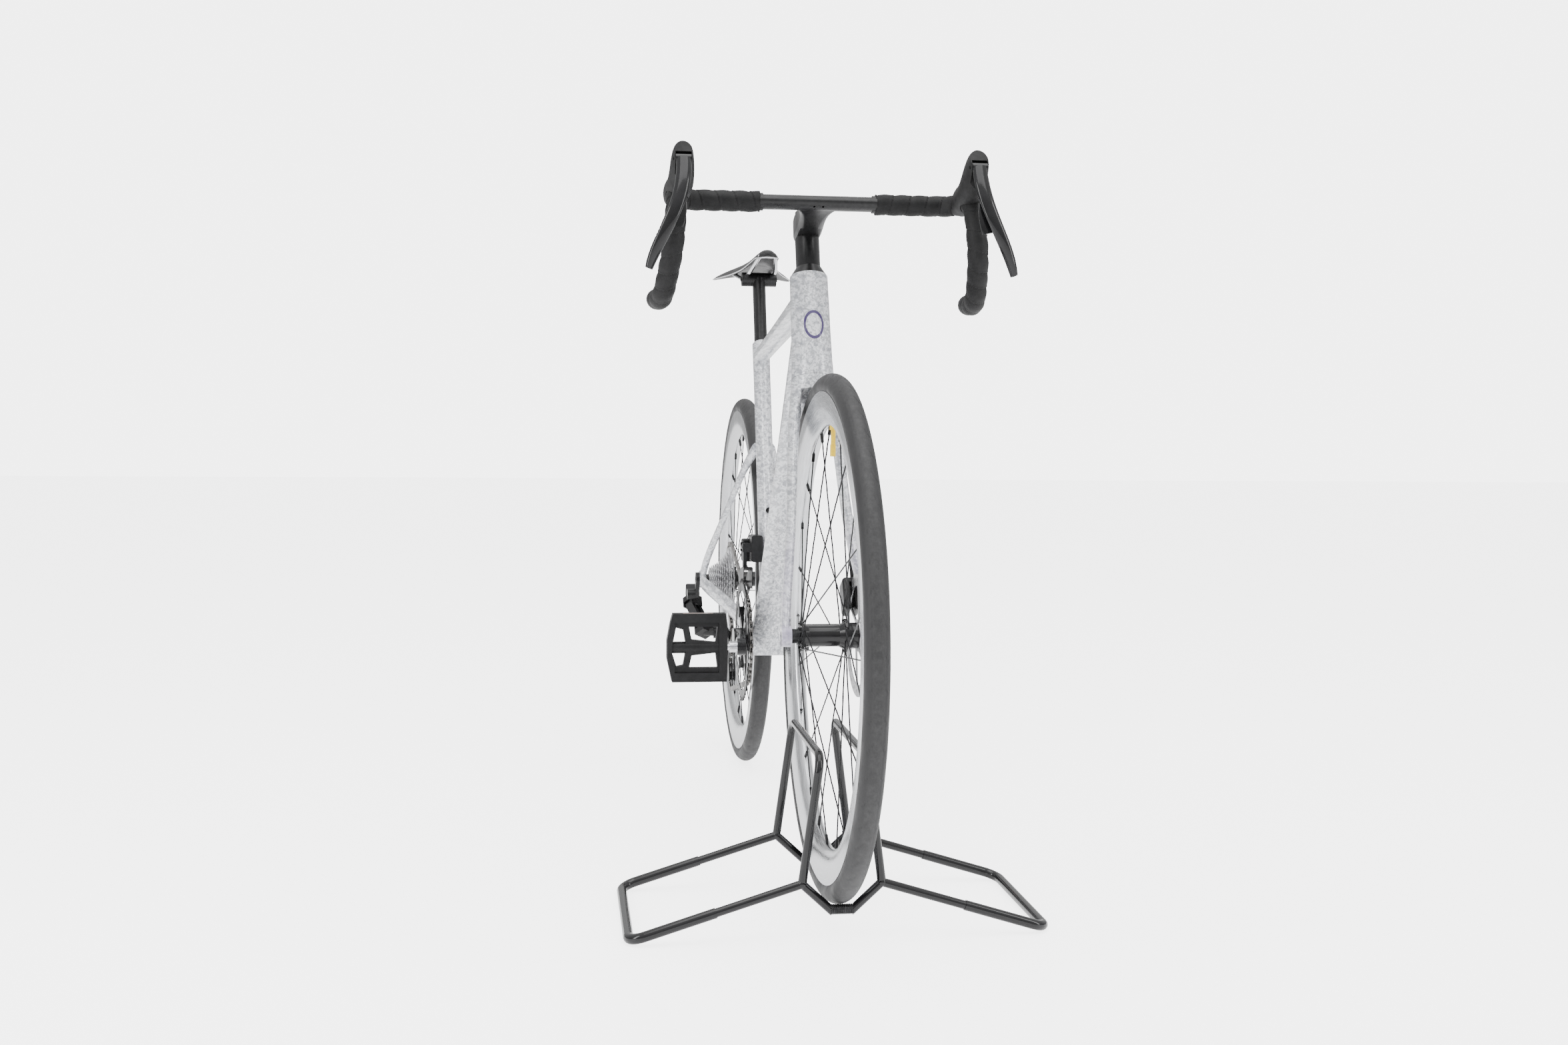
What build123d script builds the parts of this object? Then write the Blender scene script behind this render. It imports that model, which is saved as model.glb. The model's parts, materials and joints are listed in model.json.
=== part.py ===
from build123d import *
import os
from math import asin, atan2, cos, degrees, hypot, pi, radians, sin

# A road bicycle whose front wheel stands in a sprung butterfly stand.
# Sizes are millimetres and degrees. The bicycle is drawn level: x forward from the rear axle,
# y to the rider's left, z up from the line under its wheels. place() then lifts its nose by the
# height that the stand holds the front wheel at, and moves the origin to the floor midway
# between the axles. The stand is drawn straight in that final frame.

# ---- running and standing clearances
RUNNING = 0.05          # radial clearance of a shaft in its bore
FREE = 0.3              # space between faces of pieces that move past each other

# ---- whole bicycle
WHEEL_BASE = 985.0
WHEEL_RADIUS = 340.0
WHEEL_LIFT = 24.3
CHAIN_STAY = 410.0
BRACKET_DROP = 70.0
HEAD_ANGLE = 73.0
SEAT_ANGLE = 73.0
FORK_OFFSET = 45.0
CROWN_HEIGHT = 338.0    # height of the crown race over the front axle

# ---- wheels
TYRE_SECTION = 15.0     # radius of the inflated tyre's section
TYRE_WALL = 3.0
RIM_OUTER = 317.0
RIM_DEPTH = 45.0
RIM_WIDTH = 27.0
RIM_BED_DEPTH = 8.0
RIM_BED_WIDTH = 20.0
BEAD_WIDTH = 3.0
BEAD_DEPTH = 7.0
SPOKES_PER_SIDE = 12
SPOKE_RADIUS = 0.9
SPOKE_LEAD = 60.0       # angle between a spoke's flange hole and its rim hole
NIPPLE_RADIUS = 2.1
NIPPLE_LENGTH = 13.0
NIPPLE_SEAT = 1.5
FLANGE_THICKNESS = 3.2
AXLE_RADIUS = 6.0
END_CAP_RADIUS = 9.5
BARREL_RADIUS = 14.0
FRONT_WIDTH = 100.0     # between the fork's dropouts
REAR_WIDTH = 142.0      # between the frame's dropouts
DROPOUT_THICKNESS = 12.0
FRONT_FLANGES = {-1: (36.0, 20.0), 1: (21.0, 22.0)}    # side: offset from the middle, radius
REAR_FLANGES = {-1: (17.0, 24.0), 1: (34.0, 22.0)}
ROTOR_THICKNESS = 1.8
ROTOR_TRACK = 15.0      # width of the braking track
FRONT_ROTOR_RADIUS = 80.0
REAR_ROTOR_RADIUS = 70.0
FRONT_ROTOR_Y = 38.0
REAR_ROTOR_Y = 54.0
ROTOR_CARRIER_RADIUS = 21.0
VALVE_RADIUS = 3.0
VALVE_CAP_RADIUS = 3.6
VALVE_LENGTH = 38.0
FRONT_VALVE_ANGLE = 85.1    # from forward, upwards
REAR_VALVE_ANGLE = 214.0

# ---- drive
PITCH = 12.7            # of the chain
ROLLER_RADIUS = 3.8
CHAIN_STRAIGHT = 18.0   # the chain leaves and meets a wheel square to it for this far
PIN_RADIUS = 1.8
PLATE_HEIGHT = 8.0
INNER_HALF_GAP = 1.1
PLATE_THICKNESS = 0.75
SPROCKET_THICKNESS = 1.6
LARGE_RING_TEETH = 48
SMALL_RING_TEETH = 35
COG_TEETH = (33, 28, 24, 21, 19, 17, 15, 14, 13, 12, 11, 10)
JOCKEY_TEETH = 12
COG_SPACING = 3.6
FIRST_COG_Y = -24.0
FREEHUB_RADIUS = 15.0
COG_WEB = 13.0          # from a cog's pitch line in to its arms
SMALL_RING_Y = -40.3
RING_SPACING = 7.3
CRANK_LENGTH = 170.0
CRANK_ANGLE = 2.9       # of the right arm, up from forward
CRANK_ARM_THICKNESS = 13.0
SPINDLE_RADIUS = 14.5
SPIDER_ARMS = 4
SPIDER_RADIUS = 60.0
PEDAL_WIDTH = 92.0
PEDAL_LENGTH = 105.0
PEDAL_THICKNESS = 22.0
PEDAL_INNER_Y = 91.0
PEDAL_AXLE_RADIUS = 5.0

# ---- frame, fork and steering
SHELL_RADIUS = 26.0
SHELL_HALF = 34.0
CUP_RADIUS = 20.5
CUP_FLANGE = 5.0
HEAD_LENGTH = 152.0
HEAD_RADIUS = 28.0
HEAD_BEARING_RADIUS = 23.5
HEAD_BEARING_HEIGHT = 8.0
STEERER_RADIUS = 14.3
CROWN_SEAT_RADIUS = 18.9
TYRE_ROOM = 8.0         # radial space between tyre and frame
TYRE_SIDE_ROOM = 5.5
POST_HALF_WIDTH = 11.0
POST_HALF_DEPTH = 16.5
POST_INSERT = 190.0
POST_DROP = 50.0        # how far the post can still go down
SEAT_TUBE_TOP = 518.0   # up the seat tube from the bottom bracket
SEAT_CLAMP = 638.0      # up the seat tube from the bottom bracket
BOSS_BOLT_RADIUS = 2.5
BOSS_BOLT_HEAD = 4.5

# ---- cockpit
SPACER_STACK = 46.0
SPACER_COUNT = 4
COVER_HEIGHT = 12.0
STEM_HEIGHT = 38.0
STEM_RISE = 11.0
STEM_LENGTH = 100.0
BAR_TOP_HALF = 80.0     # bare middle of the bar, each way
BAR_HALF_DEPTH = 15.0
BAR_HALF_HEIGHT = 10.0
BAR_RADIUS = 11.9
TAPE_THICKNESS = 2.6
HOOD_Y = 192.0
HOOD_REACH = 128.0      # from the bar's top to the hood's nose
LEVER_FORWARD = 126.2     # from the bar's top to the brake lever's pivot
LEVER_RISE = 31.9

# ---- saddle
RAIL_RADIUS = 3.5
RAIL_Y = 22.0
CLAMP_RADIUS = 12.0
CLAMP_BOLT_RADIUS = 3.5
HEAD_HALF_WIDTH = 13.0
CHEEK_WIDTH = 17.0

# ---- stand
STAND_HALF = 120.0      # from the axle to its front and rear frames
STAND_TUBE = 5.5
STAND_SLEEVE = 6.5
STAND_FOOT_Y = 263.0
STAND_JOINT = (50.0, 72.0)
STAND_TOP = (28.5, 231.0)
STAND_BEND = 20.0
SLEEVE_START = 0.5      # share of the floor leg left bare
SPRING_RADIUS = 6.5
SPRING_WIRE = 1.15
SPRING_COILS = 12
SPRING_HALF = 13.7

# ---- worked out from the sizes above
NOSE_UP = degrees(asin(WHEEL_LIFT / WHEEL_BASE))
HALF_BASE = WHEEL_BASE * cos(radians(NOSE_UP)) / 2
REAR_AXLE = (0.0, WHEEL_RADIUS)
FRONT_AXLE = (WHEEL_BASE, WHEEL_RADIUS)
BRACKET = ((CHAIN_STAY**2 - BRACKET_DROP**2) ** 0.5, WHEEL_RADIUS - BRACKET_DROP)
HEAD_DIR = (-cos(radians(HEAD_ANGLE)), sin(radians(HEAD_ANGLE)))
SEAT_DIR = (-cos(radians(SEAT_ANGLE)), sin(radians(SEAT_ANGLE)))
CROWN = (
    WHEEL_BASE - FORK_OFFSET / sin(radians(HEAD_ANGLE)) + CROWN_HEIGHT * HEAD_DIR[0] / HEAD_DIR[1],
    WHEEL_RADIUS + CROWN_HEIGHT,
)
RIM_INNER = RIM_OUTER - RIM_DEPTH
TYRE_CENTRE = WHEEL_RADIUS - TYRE_SECTION
LARGE_RING_Y = SMALL_RING_Y - RING_SPACING
OUTER_HALF_GAP = INNER_HALF_GAP + PLATE_THICKNESS + 0.1
STEM_BASE = HEAD_LENGTH + COVER_HEIGHT + SPACER_STACK
TAPE_RADIUS = BAR_RADIUS + TAPE_THICKNESS

NODES = {}


# ---------------------------------------------------------------- helpers
def place(shape):
    """Moves a shape of the level bicycle to its resting place on the stand."""
    return Pos(-HALF_BASE, 0, WHEEL_RADIUS) * Rot(0, -NOSE_UP, 0) * Pos(0, 0, -WHEEL_RADIUS) * shape


def keep(name, *shapes):
    """Stores a node of the bicycle as a list of placed solids."""
    NODES[name] = [solid for shape in shapes for solid in place(shape).solids()]


def on_head(distance, forward=0.0, y=0.0):
    """A point up the steering axis from the crown race, and forward of that axis."""
    x = CROWN[0] + HEAD_DIR[0] * distance + HEAD_DIR[1] * forward
    return Vector(x, y, CROWN[1] + HEAD_DIR[1] * distance - HEAD_DIR[0] * forward)


def on_seat(distance, forward=0.0, y=0.0):
    """A point up the seat tube from the bottom bracket, and forward of the tube's axis."""
    x = BRACKET[0] + SEAT_DIR[0] * distance + SEAT_DIR[1] * forward
    return Vector(x, y, BRACKET[1] + SEAT_DIR[1] * distance - SEAT_DIR[0] * forward)


def polar(centre, radius, angle):
    """A point (x, z) at an angle from forward, upwards."""
    return (centre[0] + radius * cos(radians(angle)), centre[1] + radius * sin(radians(angle)))


def rod(start, end, radius):
    """A round bar between two points."""
    start, end = Vector(start), Vector(end)
    direction = end - start
    return Plane(origin=start + direction / 2, z_dir=direction) * Cylinder(radius, direction.length)


def cross_rod(centre, y_from, y_to, radius):
    """A round bar across the bicycle at (x, z)."""
    return rod((centre[0], y_from, centre[1]), (centre[0], y_to, centre[1]), radius)


def cross_plate(outline, y_from, y_to):
    """A plate across the bicycle from a sketch drawn in x and z."""
    plane = Plane(origin=(0, y_to, 0), x_dir=(1, 0, 0), z_dir=(0, -1, 0))
    return extrude(plane * outline, amount=y_to - y_from)


def tube(stations):
    """A solid through ellipses: each station is (point, half width, half depth)."""
    points = [Vector(station[0]) for station in stations]
    faces = []
    for index, (point, half_width, half_depth) in enumerate(stations):
        ahead = points[min(index + 1, len(points) - 1)]
        behind = points[max(index - 1, 0)]
        direction = (ahead - behind).normalized()
        across = (Vector(0, 1, 0) - direction * direction.Y).normalized()
        plane = Plane(origin=point, x_dir=across, z_dir=direction)
        faces.append(plane * Ellipse(half_width, half_depth))
    return loft(faces)


def mirrored(shape):
    """The same shape on the other side of the bicycle."""
    return mirror(shape, about=Plane.XZ)


def swept(points, radii, radius):
    """A round tube along straight runs joined by arcs."""
    path = FilletPolyline(*points, radius=radii)
    start = Plane(origin=path @ 0, z_dir=path % 0)
    return sweep(start * Circle(radius), path=path)


# ---------------------------------------------------------------- wheels
def tyre():
    section = Pos(TYRE_CENTRE, 0) * (Circle(TYRE_SECTION) - Circle(TYRE_SECTION - TYRE_WALL))
    section -= Pos(RIM_OUTER - TYRE_SECTION, 0) * Rectangle(2 * TYRE_SECTION, 4 * TYRE_SECTION)
    bead_y = RIM_BED_WIDTH / 2 - BEAD_WIDTH / 2
    for side in (-1, 1):
        bead = Rectangle(BEAD_DEPTH + 1, BEAD_WIDTH)
        section += Pos(RIM_OUTER - BEAD_DEPTH / 2 + 0.5, side * bead_y) * bead
    return revolve(section, axis=Axis.Y)


def rim():
    shoulder = RIM_OUTER - RIM_BED_DEPTH - 6
    band = Rectangle(RIM_OUTER - shoulder, RIM_WIDTH, align=(Align.MIN, Align.CENTER))
    nose = Ellipse(shoulder - RIM_INNER, RIM_WIDTH / 2) - Pos(RIM_DEPTH, 0) * Rectangle(2 * RIM_DEPTH, RIM_WIDTH)
    bed = Rectangle(RIM_BED_DEPTH, RIM_BED_WIDTH, align=(Align.MAX, Align.CENTER))
    section = Pos(shoulder, 0) * (band + nose) - Pos(RIM_OUTER, 0) * bed
    return revolve(section, axis=Axis.Y)


def spoke(flange_y, flange_radius, outside, lead):
    """One bent-head spoke with its nipple; its flange hole points forward."""
    face_y = flange_y + outside * (FLANGE_THICKNESS / 2 + SPOKE_RADIUS)
    hole_radius = flange_radius - 2.6
    head = Vector(hole_radius, face_y, 0)
    foot = Vector(*[value * (RIM_INNER + NIPPLE_SEAT) for value in (cos(radians(lead)), 0, sin(radians(lead)))])
    direction = (foot - head).normalized()
    shape = rod(head, foot, SPOKE_RADIUS)
    shape += rod(foot - direction * NIPPLE_LENGTH, foot, NIPPLE_RADIUS)
    elbow_end = Vector(hole_radius, flange_y - outside * (FLANGE_THICKNESS / 2 + 1), 0)
    return shape + rod(head + Vector(0, outside * SPOKE_RADIUS / 2, 0), elbow_end, SPOKE_RADIUS)


def spokes(flanges):
    step = 360 / SPOKES_PER_SIDE
    result = []
    for side, (offset, radius) in flanges.items():
        for parity, outside in ((0, side), (1, -side)):
            lead = SPOKE_LEAD if parity == 0 else -SPOKE_LEAD
            one = spoke(side * offset, radius, outside, lead)
            for index in range(parity, SPOKES_PER_SIDE, 2):
                turn = index * step + (step / 2 if side > 0 else 0)
                result += (Rot(0, -turn, 0) * one).solids()
    return result


def hub(flanges, width, rotor_y, seat_radius, collar):
    """A turned hub shell with its bore, flanges, end caps and rotor seat."""
    half = width / 2 - FREE
    drive_y = -flanges[-1][0]
    brake_y = flanges[1][0]
    shell = cross_rod((0, 0), -half, half, END_CAP_RADIUS)
    shell += cross_rod((0, 0), drive_y, brake_y, BARREL_RADIUS)
    shell += cross_rod((0, 0), brake_y, rotor_y - ROTOR_THICKNESS, BARREL_RADIUS + 3)
    shell += cross_rod((0, 0), rotor_y - ROTOR_THICKNESS, rotor_y + 3, seat_radius)
    for side, (offset, radius) in flanges.items():
        inner = side * (offset - FLANGE_THICKNESS / 2)
        outer = side * (offset + FLANGE_THICKNESS / 2)
        shell += cross_rod((0, 0), min(inner, outer), max(inner, outer), radius)
        cone = Plane(origin=(0, side * (offset - 5), 0), z_dir=(0, side, 0))
        shell += cone * Cone(BARREL_RADIUS, radius - 4, 10 - FLANGE_THICKNESS)
    if collar:
        shell += cross_rod((0, 0), drive_y - collar, drive_y, END_CAP_RADIUS + 2)
    return shell - cross_rod((0, 0), -width, width, AXLE_RADIUS + RUNNING)


def rotor(radius, y, seat_radius):
    """A brake disc: a track on six raked arms, and a lock ring on the hub's seat."""
    half = ROTOR_THICKNESS / 2
    disc = cross_rod((0, 0), y - half, y + half, radius)
    disc -= cross_rod((0, 0), y - 2, y + 2, radius - ROTOR_TRACK)
    inner = cross_rod((0, 0), y - half, y + half, ROTOR_CARRIER_RADIUS)
    arm_count = 6
    for index in range(arm_count):
        angle = 360 / arm_count * index
        foot = polar((0, 0), ROTOR_CARRIER_RADIUS - 2, angle)
        tip = polar((0, 0), radius - ROTOR_TRACK + 1, angle + 28)
        length = hypot(tip[0] - foot[0], tip[1] - foot[1])
        middle = ((tip[0] + foot[0]) / 2, (tip[1] + foot[1]) / 2)
        lean = degrees(atan2(tip[1] - foot[1], tip[0] - foot[0]))
        disc += Pos(middle[0], y, middle[1]) * Rot(0, -lean, 0) * Box(length, ROTOR_THICKNESS, 5)
    hole_count = 24
    hole = cross_rod((radius - ROTOR_TRACK / 2, 0), y - 2, y + 2, 2.2)
    for index in range(hole_count):
        disc -= Rot(0, 360 / hole_count * index, 0) * hole
    disc += inner + cross_rod((0, 0), y + half, y + half + 3, ROTOR_CARRIER_RADIUS - 3)
    return disc - cross_rod((0, 0), y - 2, y + 6, seat_radius)


def valve(angle):
    root = polar((0, 0), RIM_INNER + NIPPLE_SEAT, angle)
    neck = polar((0, 0), RIM_INNER - VALVE_LENGTH + 15, angle)
    tip = polar((0, 0), RIM_INNER - VALVE_LENGTH, angle)
    nut = polar((0, 0), RIM_INNER - 4, angle)
    stem = rod((root[0], 0, root[1]), (neck[0], 0, neck[1]), VALVE_RADIUS)
    stem += rod((root[0], 0, root[1]), (nut[0], 0, nut[1]), VALVE_RADIUS + 2)
    return stem + rod((neck[0], 0, neck[1]), (tip[0], 0, tip[1]), VALVE_CAP_RADIUS)


def wheel(name, axle, flanges, width, rotor_radius, rotor_y, valve_angle, collar):
    seat_radius = 15.0
    at = Pos(axle[0], 0, axle[1])
    keep(name + "_tyre", at * tyre())
    keep(name + "_rim", at * rim())
    keep(name + "_spokes", *[at * one for one in spokes(flanges)])
    keep(name + "_hub", at * hub(flanges, width, rotor_y, seat_radius, collar))
    keep(name + "_brake_rotor", at * rotor(rotor_radius, rotor_y, seat_radius))
    keep(name + "_valve", at * valve(valve_angle))


# ---------------------------------------------------------------- chain drive
def pitch_radius(teeth):
    return PITCH / (2 * sin(pi / teeth))


def sprocket(teeth, y, phase=0.0, bore=0.0, thickness=SPROCKET_THICKNESS):
    """A toothed disc about the origin; one tooth gap lies at the phase angle."""
    radius = pitch_radius(teeth)
    seat = ROLLER_RADIUS + 0.2
    flank = radians(65)
    tip_radius = radius + 2.9
    tip_half = 0.9
    outline = []
    for index in range(teeth):
        turn = radians(phase) + 2 * pi * index / teeth

        def turned(x, z):
            return (x * cos(turn) - z * sin(turn), x * sin(turn) + z * cos(turn))

        low = turned(radius - seat * cos(flank), -seat * sin(flank))
        floor = turned(radius - seat, 0)
        high = turned(radius - seat * cos(flank), seat * sin(flank))
        tip_turn = pi / teeth - tip_half / tip_radius
        next_turn = pi / teeth + tip_half / tip_radius
        tip = turned(tip_radius * cos(tip_turn), tip_radius * sin(tip_turn))
        far = turned(tip_radius * cos(next_turn), tip_radius * sin(next_turn))
        step = 2 * pi / teeth
        start = (radius - seat * cos(flank), -seat * sin(flank))
        following = turned(start[0] * cos(step) - start[1] * sin(step), start[0] * sin(step) + start[1] * cos(step))
        outline += [ThreePointArc(low, floor, high), Line(high, tip), Line(tip, far), Line(far, following)]
    face = make_face(Curve() + outline)
    if bore:
        face -= Circle(bore)
    return cross_plate(face, y - thickness / 2, y + thickness / 2)


class Route:
    """The chain's pitch line: arcs on the sprockets and straight runs between them."""

    def __init__(self, wheels):
        # wheels are (centre, pitch radius, y, turning sense), in the order the chain meets them;
        # sense 1 is clockwise seen from the drive side
        self.pieces = []
        touches = []
        for index, one in enumerate(wheels):
            touches.append(self.tangent(one, wheels[(index + 1) % len(wheels)]))
        for index, (centre, radius, y, sense) in enumerate(wheels):
            arrive = touches[index - 1][1]
            leave, onward = touches[index]
            start = atan2(arrive[1] - centre[1], arrive[0] - centre[0])
            end = atan2(leave[1] - centre[1], leave[0] - centre[0])
            sweep_angle = ((start - end) if sense > 0 else (end - start)) % (2 * pi)
            self.pieces.append(("arc", radius * sweep_angle, centre, radius, start, sense, y))
            next_y = wheels[(index + 1) % len(wheels)][2]
            length = hypot(onward[0] - leave[0], onward[1] - leave[1])
            self.pieces.append(("line", length, leave, onward, y, next_y))
        self.length = sum(piece[1] for piece in self.pieces)

    @staticmethod
    def tangent(first, second):
        """The straight run that leaves one wheel and meets the next."""
        (ax, az), ar, _, a_sense = first
        (bx, bz), br, _, b_sense = second
        gap = hypot(bx - ax, bz - az)
        along = atan2(bz - az, bx - ax)
        # on a wheel of sense 1 the chain lies to the left of its own direction
        lean = asin((a_sense * ar - b_sense * br) / gap)
        normal = along + pi / 2 - lean
        leave = (ax + a_sense * ar * cos(normal), az + a_sense * ar * sin(normal))
        meet = (bx + b_sense * br * cos(normal), bz + b_sense * br * sin(normal))
        return leave, meet

    def at(self, distance):
        """The point (x, y, z) that far along the route."""
        distance %= self.length
        for piece in self.pieces:
            if distance <= piece[1]:
                break
            distance -= piece[1]
        if piece[0] == "arc":
            _, _, centre, radius, start, sense, y = piece
            angle = start - sense * distance / radius
            return Vector(centre[0] + radius * cos(angle), y, centre[1] + radius * sin(angle))
        _, length, leave, onward, y, next_y = piece
        share = distance / length
        drift = min(max((distance - CHAIN_STRAIGHT) / (length - 2 * CHAIN_STRAIGHT), 0), 1)
        return Vector(
            leave[0] + (onward[0] - leave[0]) * share,
            y + (next_y - y) * drift,
            leave[1] + (onward[1] - leave[1]) * share,
        )

    def next_pin(self, distance):
        """Where the next pin lies, one pitch away in a straight line."""
        here = self.at(distance)
        step = PITCH
        for _ in range(6):
            step += PITCH - (self.at(distance + step) - here).length
        return distance + step

    def pins(self, count):
        distances = [0.0]
        for _ in range(count):
            distances.append(self.next_pin(distances[-1]))
        return distances


# ---- rear derailleur's fixed points
HANGER_BOLT = (-8.0, 311.0)
HANGER_INNER_Y = -(REAR_WIDTH / 2 + DROPOUT_THICKNESS)
HANGER_THICKNESS = 7.0
GUIDE_PULLEY = (13.0, 235.0)
PULLEY_DISTANCE = 76.0
CAGE_PIVOT = (8.0, 240.0)
CAGE_HALF_GAP = 4.2
CAGE_PLATE = 2.0
LINK_LENGTH = 46.0
LINK_SPLIT = 17.0
LINK_HALF_THICKNESS = 3.3
LINK_HALF_WIDTH = 9.0
LINK_PIN = 2.2
EAR_THICKNESS = 3.0
SHIFT_HALF_ANGLE = 33.0
LINK_CENTRE = Vector(-24, -93, 289)     # midway between the fixed ends of the two links
SHIFT_DIR = Vector(0.45, -0.8, 0.396).normalized()
MID_LINK_DIR = Vector(0.66, 0, -0.75).normalized()
LINK_AXIS = MID_LINK_DIR.cross(SHIFT_DIR).normalized()


def chain_wheels(cage_angle):
    tension = polar(GUIDE_PULLEY, PULLEY_DISTANCE, cage_angle - 90)
    small = pitch_radius(JOCKEY_TEETH)
    return [
        (BRACKET, pitch_radius(SMALL_RING_TEETH), SMALL_RING_Y, 1),
        (tension, small, FIRST_COG_Y, 1),
        (GUIDE_PULLEY, small, FIRST_COG_Y, -1),
        (REAR_AXLE, pitch_radius(COG_TEETH[0]), FIRST_COG_Y, 1),
    ]


def slack(cage_angle, count):
    """How much route is left over once every link is laid."""
    route = Route(chain_wheels(cage_angle))
    return route.length - route.pins(count)[-1]


def close_chain():
    """Finds the even link count nearest the natural cage angle, and the angle that closes it."""
    natural = 15.0
    count = 2 * round(Route(chain_wheels(natural)).length / PITCH / 2)
    low, high = natural - 14, natural + 22
    low_slack = slack(low, count)
    for _ in range(30):
        middle = (low + high) / 2
        if (slack(middle, count) > 0) == (low_slack > 0):
            low = middle
        else:
            high = middle
    return count, (low + high) / 2


LINK_COUNT, CAGE_ANGLE = close_chain()
TENSION_PULLEY = polar(GUIDE_PULLEY, PULLEY_DISTANCE, CAGE_ANGLE - 90)
CHAIN_ROUTE = Route(chain_wheels(CAGE_ANGLE))
CHAIN_PINS = [CHAIN_ROUTE.at(distance) for distance in CHAIN_ROUTE.pins(LINK_COUNT)[:LINK_COUNT]]


def phase_on(centre, teeth):
    """The angle of a tooth gap that a roller lies in."""
    radius = pitch_radius(teeth)
    for before, pin, after in zip(CHAIN_PINS, CHAIN_PINS[1:], CHAIN_PINS[2:]):
        on_wheel = [abs(hypot(p.X - centre[0], p.Z - centre[1]) - radius) < 0.01 for p in (before, pin, after)]
        if all(on_wheel):
            return degrees(atan2(pin.Z - centre[1], pin.X - centre[0]))
    return 0.0


def link_plate(half_gap):
    plate = SlotCenterToCenter(PITCH, PLATE_HEIGHT)
    upper = Pos(0, 0, half_gap) * extrude(plate, amount=PLATE_THICKNESS)
    return upper + mirror(upper, about=Plane.XY)


def chain():
    """Inner links carry the rollers, outer links the pins; they alternate round the route."""
    inner = link_plate(INNER_HALF_GAP)
    outer = link_plate(OUTER_HALF_GAP)
    for end in (-PITCH / 2, PITCH / 2):
        inner += Pos(end, 0, 0) * Cylinder(ROLLER_RADIUS, 2 * INNER_HALF_GAP)
        outer += Pos(end, 0, 0) * Cylinder(PIN_RADIUS, 2 * OUTER_HALF_GAP + 2 * PLATE_THICKNESS)
    for end in (-PITCH / 2, PITCH / 2):
        inner -= Pos(end, 0, 0) * Cylinder(PIN_RADIUS + RUNNING, 20)
    links = []
    for index in range(LINK_COUNT):
        start = CHAIN_PINS[index]
        end = CHAIN_PINS[(index + 1) % LINK_COUNT]
        along = (end - start).normalized()
        side = (Vector(0, 1, 0) - along * along.Y).normalized()
        plane = Plane(origin=(start + end) / 2, x_dir=along, z_dir=side)
        links.append(plane.location * (inner if index % 2 == 0 else outer))
    return links


def chainrings():
    """Two toothed rings, each with a web and four tabs for the spider's bolts."""
    result = []
    rings = ((LARGE_RING_TEETH, LARGE_RING_Y, 0.0), (SMALL_RING_TEETH, SMALL_RING_Y, None))
    for teeth, y, phase in rings:
        phase = phase_on(BRACKET, teeth) if phase is None else phase
        bore = pitch_radius(teeth) - (15 if teeth == LARGE_RING_TEETH else 9)
        ring = sprocket(teeth, y, phase, bore)
        for index in range(SPIDER_ARMS):
            angle = 45 + 360 / SPIDER_ARMS * index
            tab = polar((0, 0), (SPIDER_RADIUS - 6 + bore + 2) / 2, angle)
            reach = bore + 2 - SPIDER_RADIUS + 6
            piece = Pos(tab[0], y, tab[1]) * Rot(0, -angle, 0) * Box(reach, SPROCKET_THICKNESS, 15)
            ring += piece
            bolt = polar((0, 0), SPIDER_RADIUS, angle)
            ring -= cross_rod(bolt, y - 2, y + 2, 4.0)
        result.append(Pos(BRACKET[0], 0, BRACKET[1]) * ring)
    return result


def cassette():
    """Twelve cogs on one hollow carrier that runs on the hub's body."""
    carrier_end = FIRST_COG_Y - COG_SPACING * (len(COG_TEETH) - 1) - 2.2
    bore = END_CAP_RADIUS + RUNNING
    body = cross_rod((0, 0), carrier_end, FIRST_COG_Y + 1.5, FREEHUB_RADIUS)
    for index, teeth in enumerate(COG_TEETH):
        y = FIRST_COG_Y - COG_SPACING * index
        phase = phase_on(REAR_AXLE, teeth) if index == 0 else 11.0 * index
        inner = pitch_radius(teeth) - COG_WEB
        armed = inner > FREEHUB_RADIUS + 4
        body += sprocket(teeth, y, phase, inner if armed else bore)
        if armed:
            # six raked arms carry each of the larger cogs
            for arm in range(6):
                angle = 60 * arm + 12 * index
                middle = polar((0, 0), (FREEHUB_RADIUS + inner) / 2, angle)
                span = Box(inner - FREEHUB_RADIUS + 4, SPROCKET_THICKNESS, 6)
                body += Pos(middle[0], y, middle[1]) * Rot(0, -angle, 0) * span
    body -= cross_rod((0, 0), -120, 0, bore)
    return Pos(REAR_AXLE[0], 0, REAR_AXLE[1]) * body


# ---------------------------------------------------------------- frame
DOWN_TUBE_JOIN = 57.0       # up the steering axis
TOP_TUBE_JOIN = 122.0       # up the steering axis
TOP_TUBE_SEAT = 497.0       # up the seat tube
STAY_TOP = 338.0            # where the seat stays meet the seat tube, up the seat tube
DROPOUT_MID = REAR_WIDTH / 2 + DROPOUT_THICKNESS / 2


def tyre_gap(axle):
    """The room that the frame or fork leaves round a tyre."""
    half = TYRE_SECTION + TYRE_SIDE_ROOM
    return cross_rod(axle, -half, half, WHEEL_RADIUS + TYRE_ROOM)


def post_prism(low, high, clearance):
    """The seatpost's oval section between two distances up the seat tube."""
    direction = Vector(SEAT_DIR[0], 0, SEAT_DIR[1])
    plane = Plane(origin=on_seat(low), x_dir=(0, 1, 0), z_dir=direction)
    return extrude(plane * Ellipse(POST_HALF_WIDTH + clearance, POST_HALF_DEPTH + clearance), amount=high - low)


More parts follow.
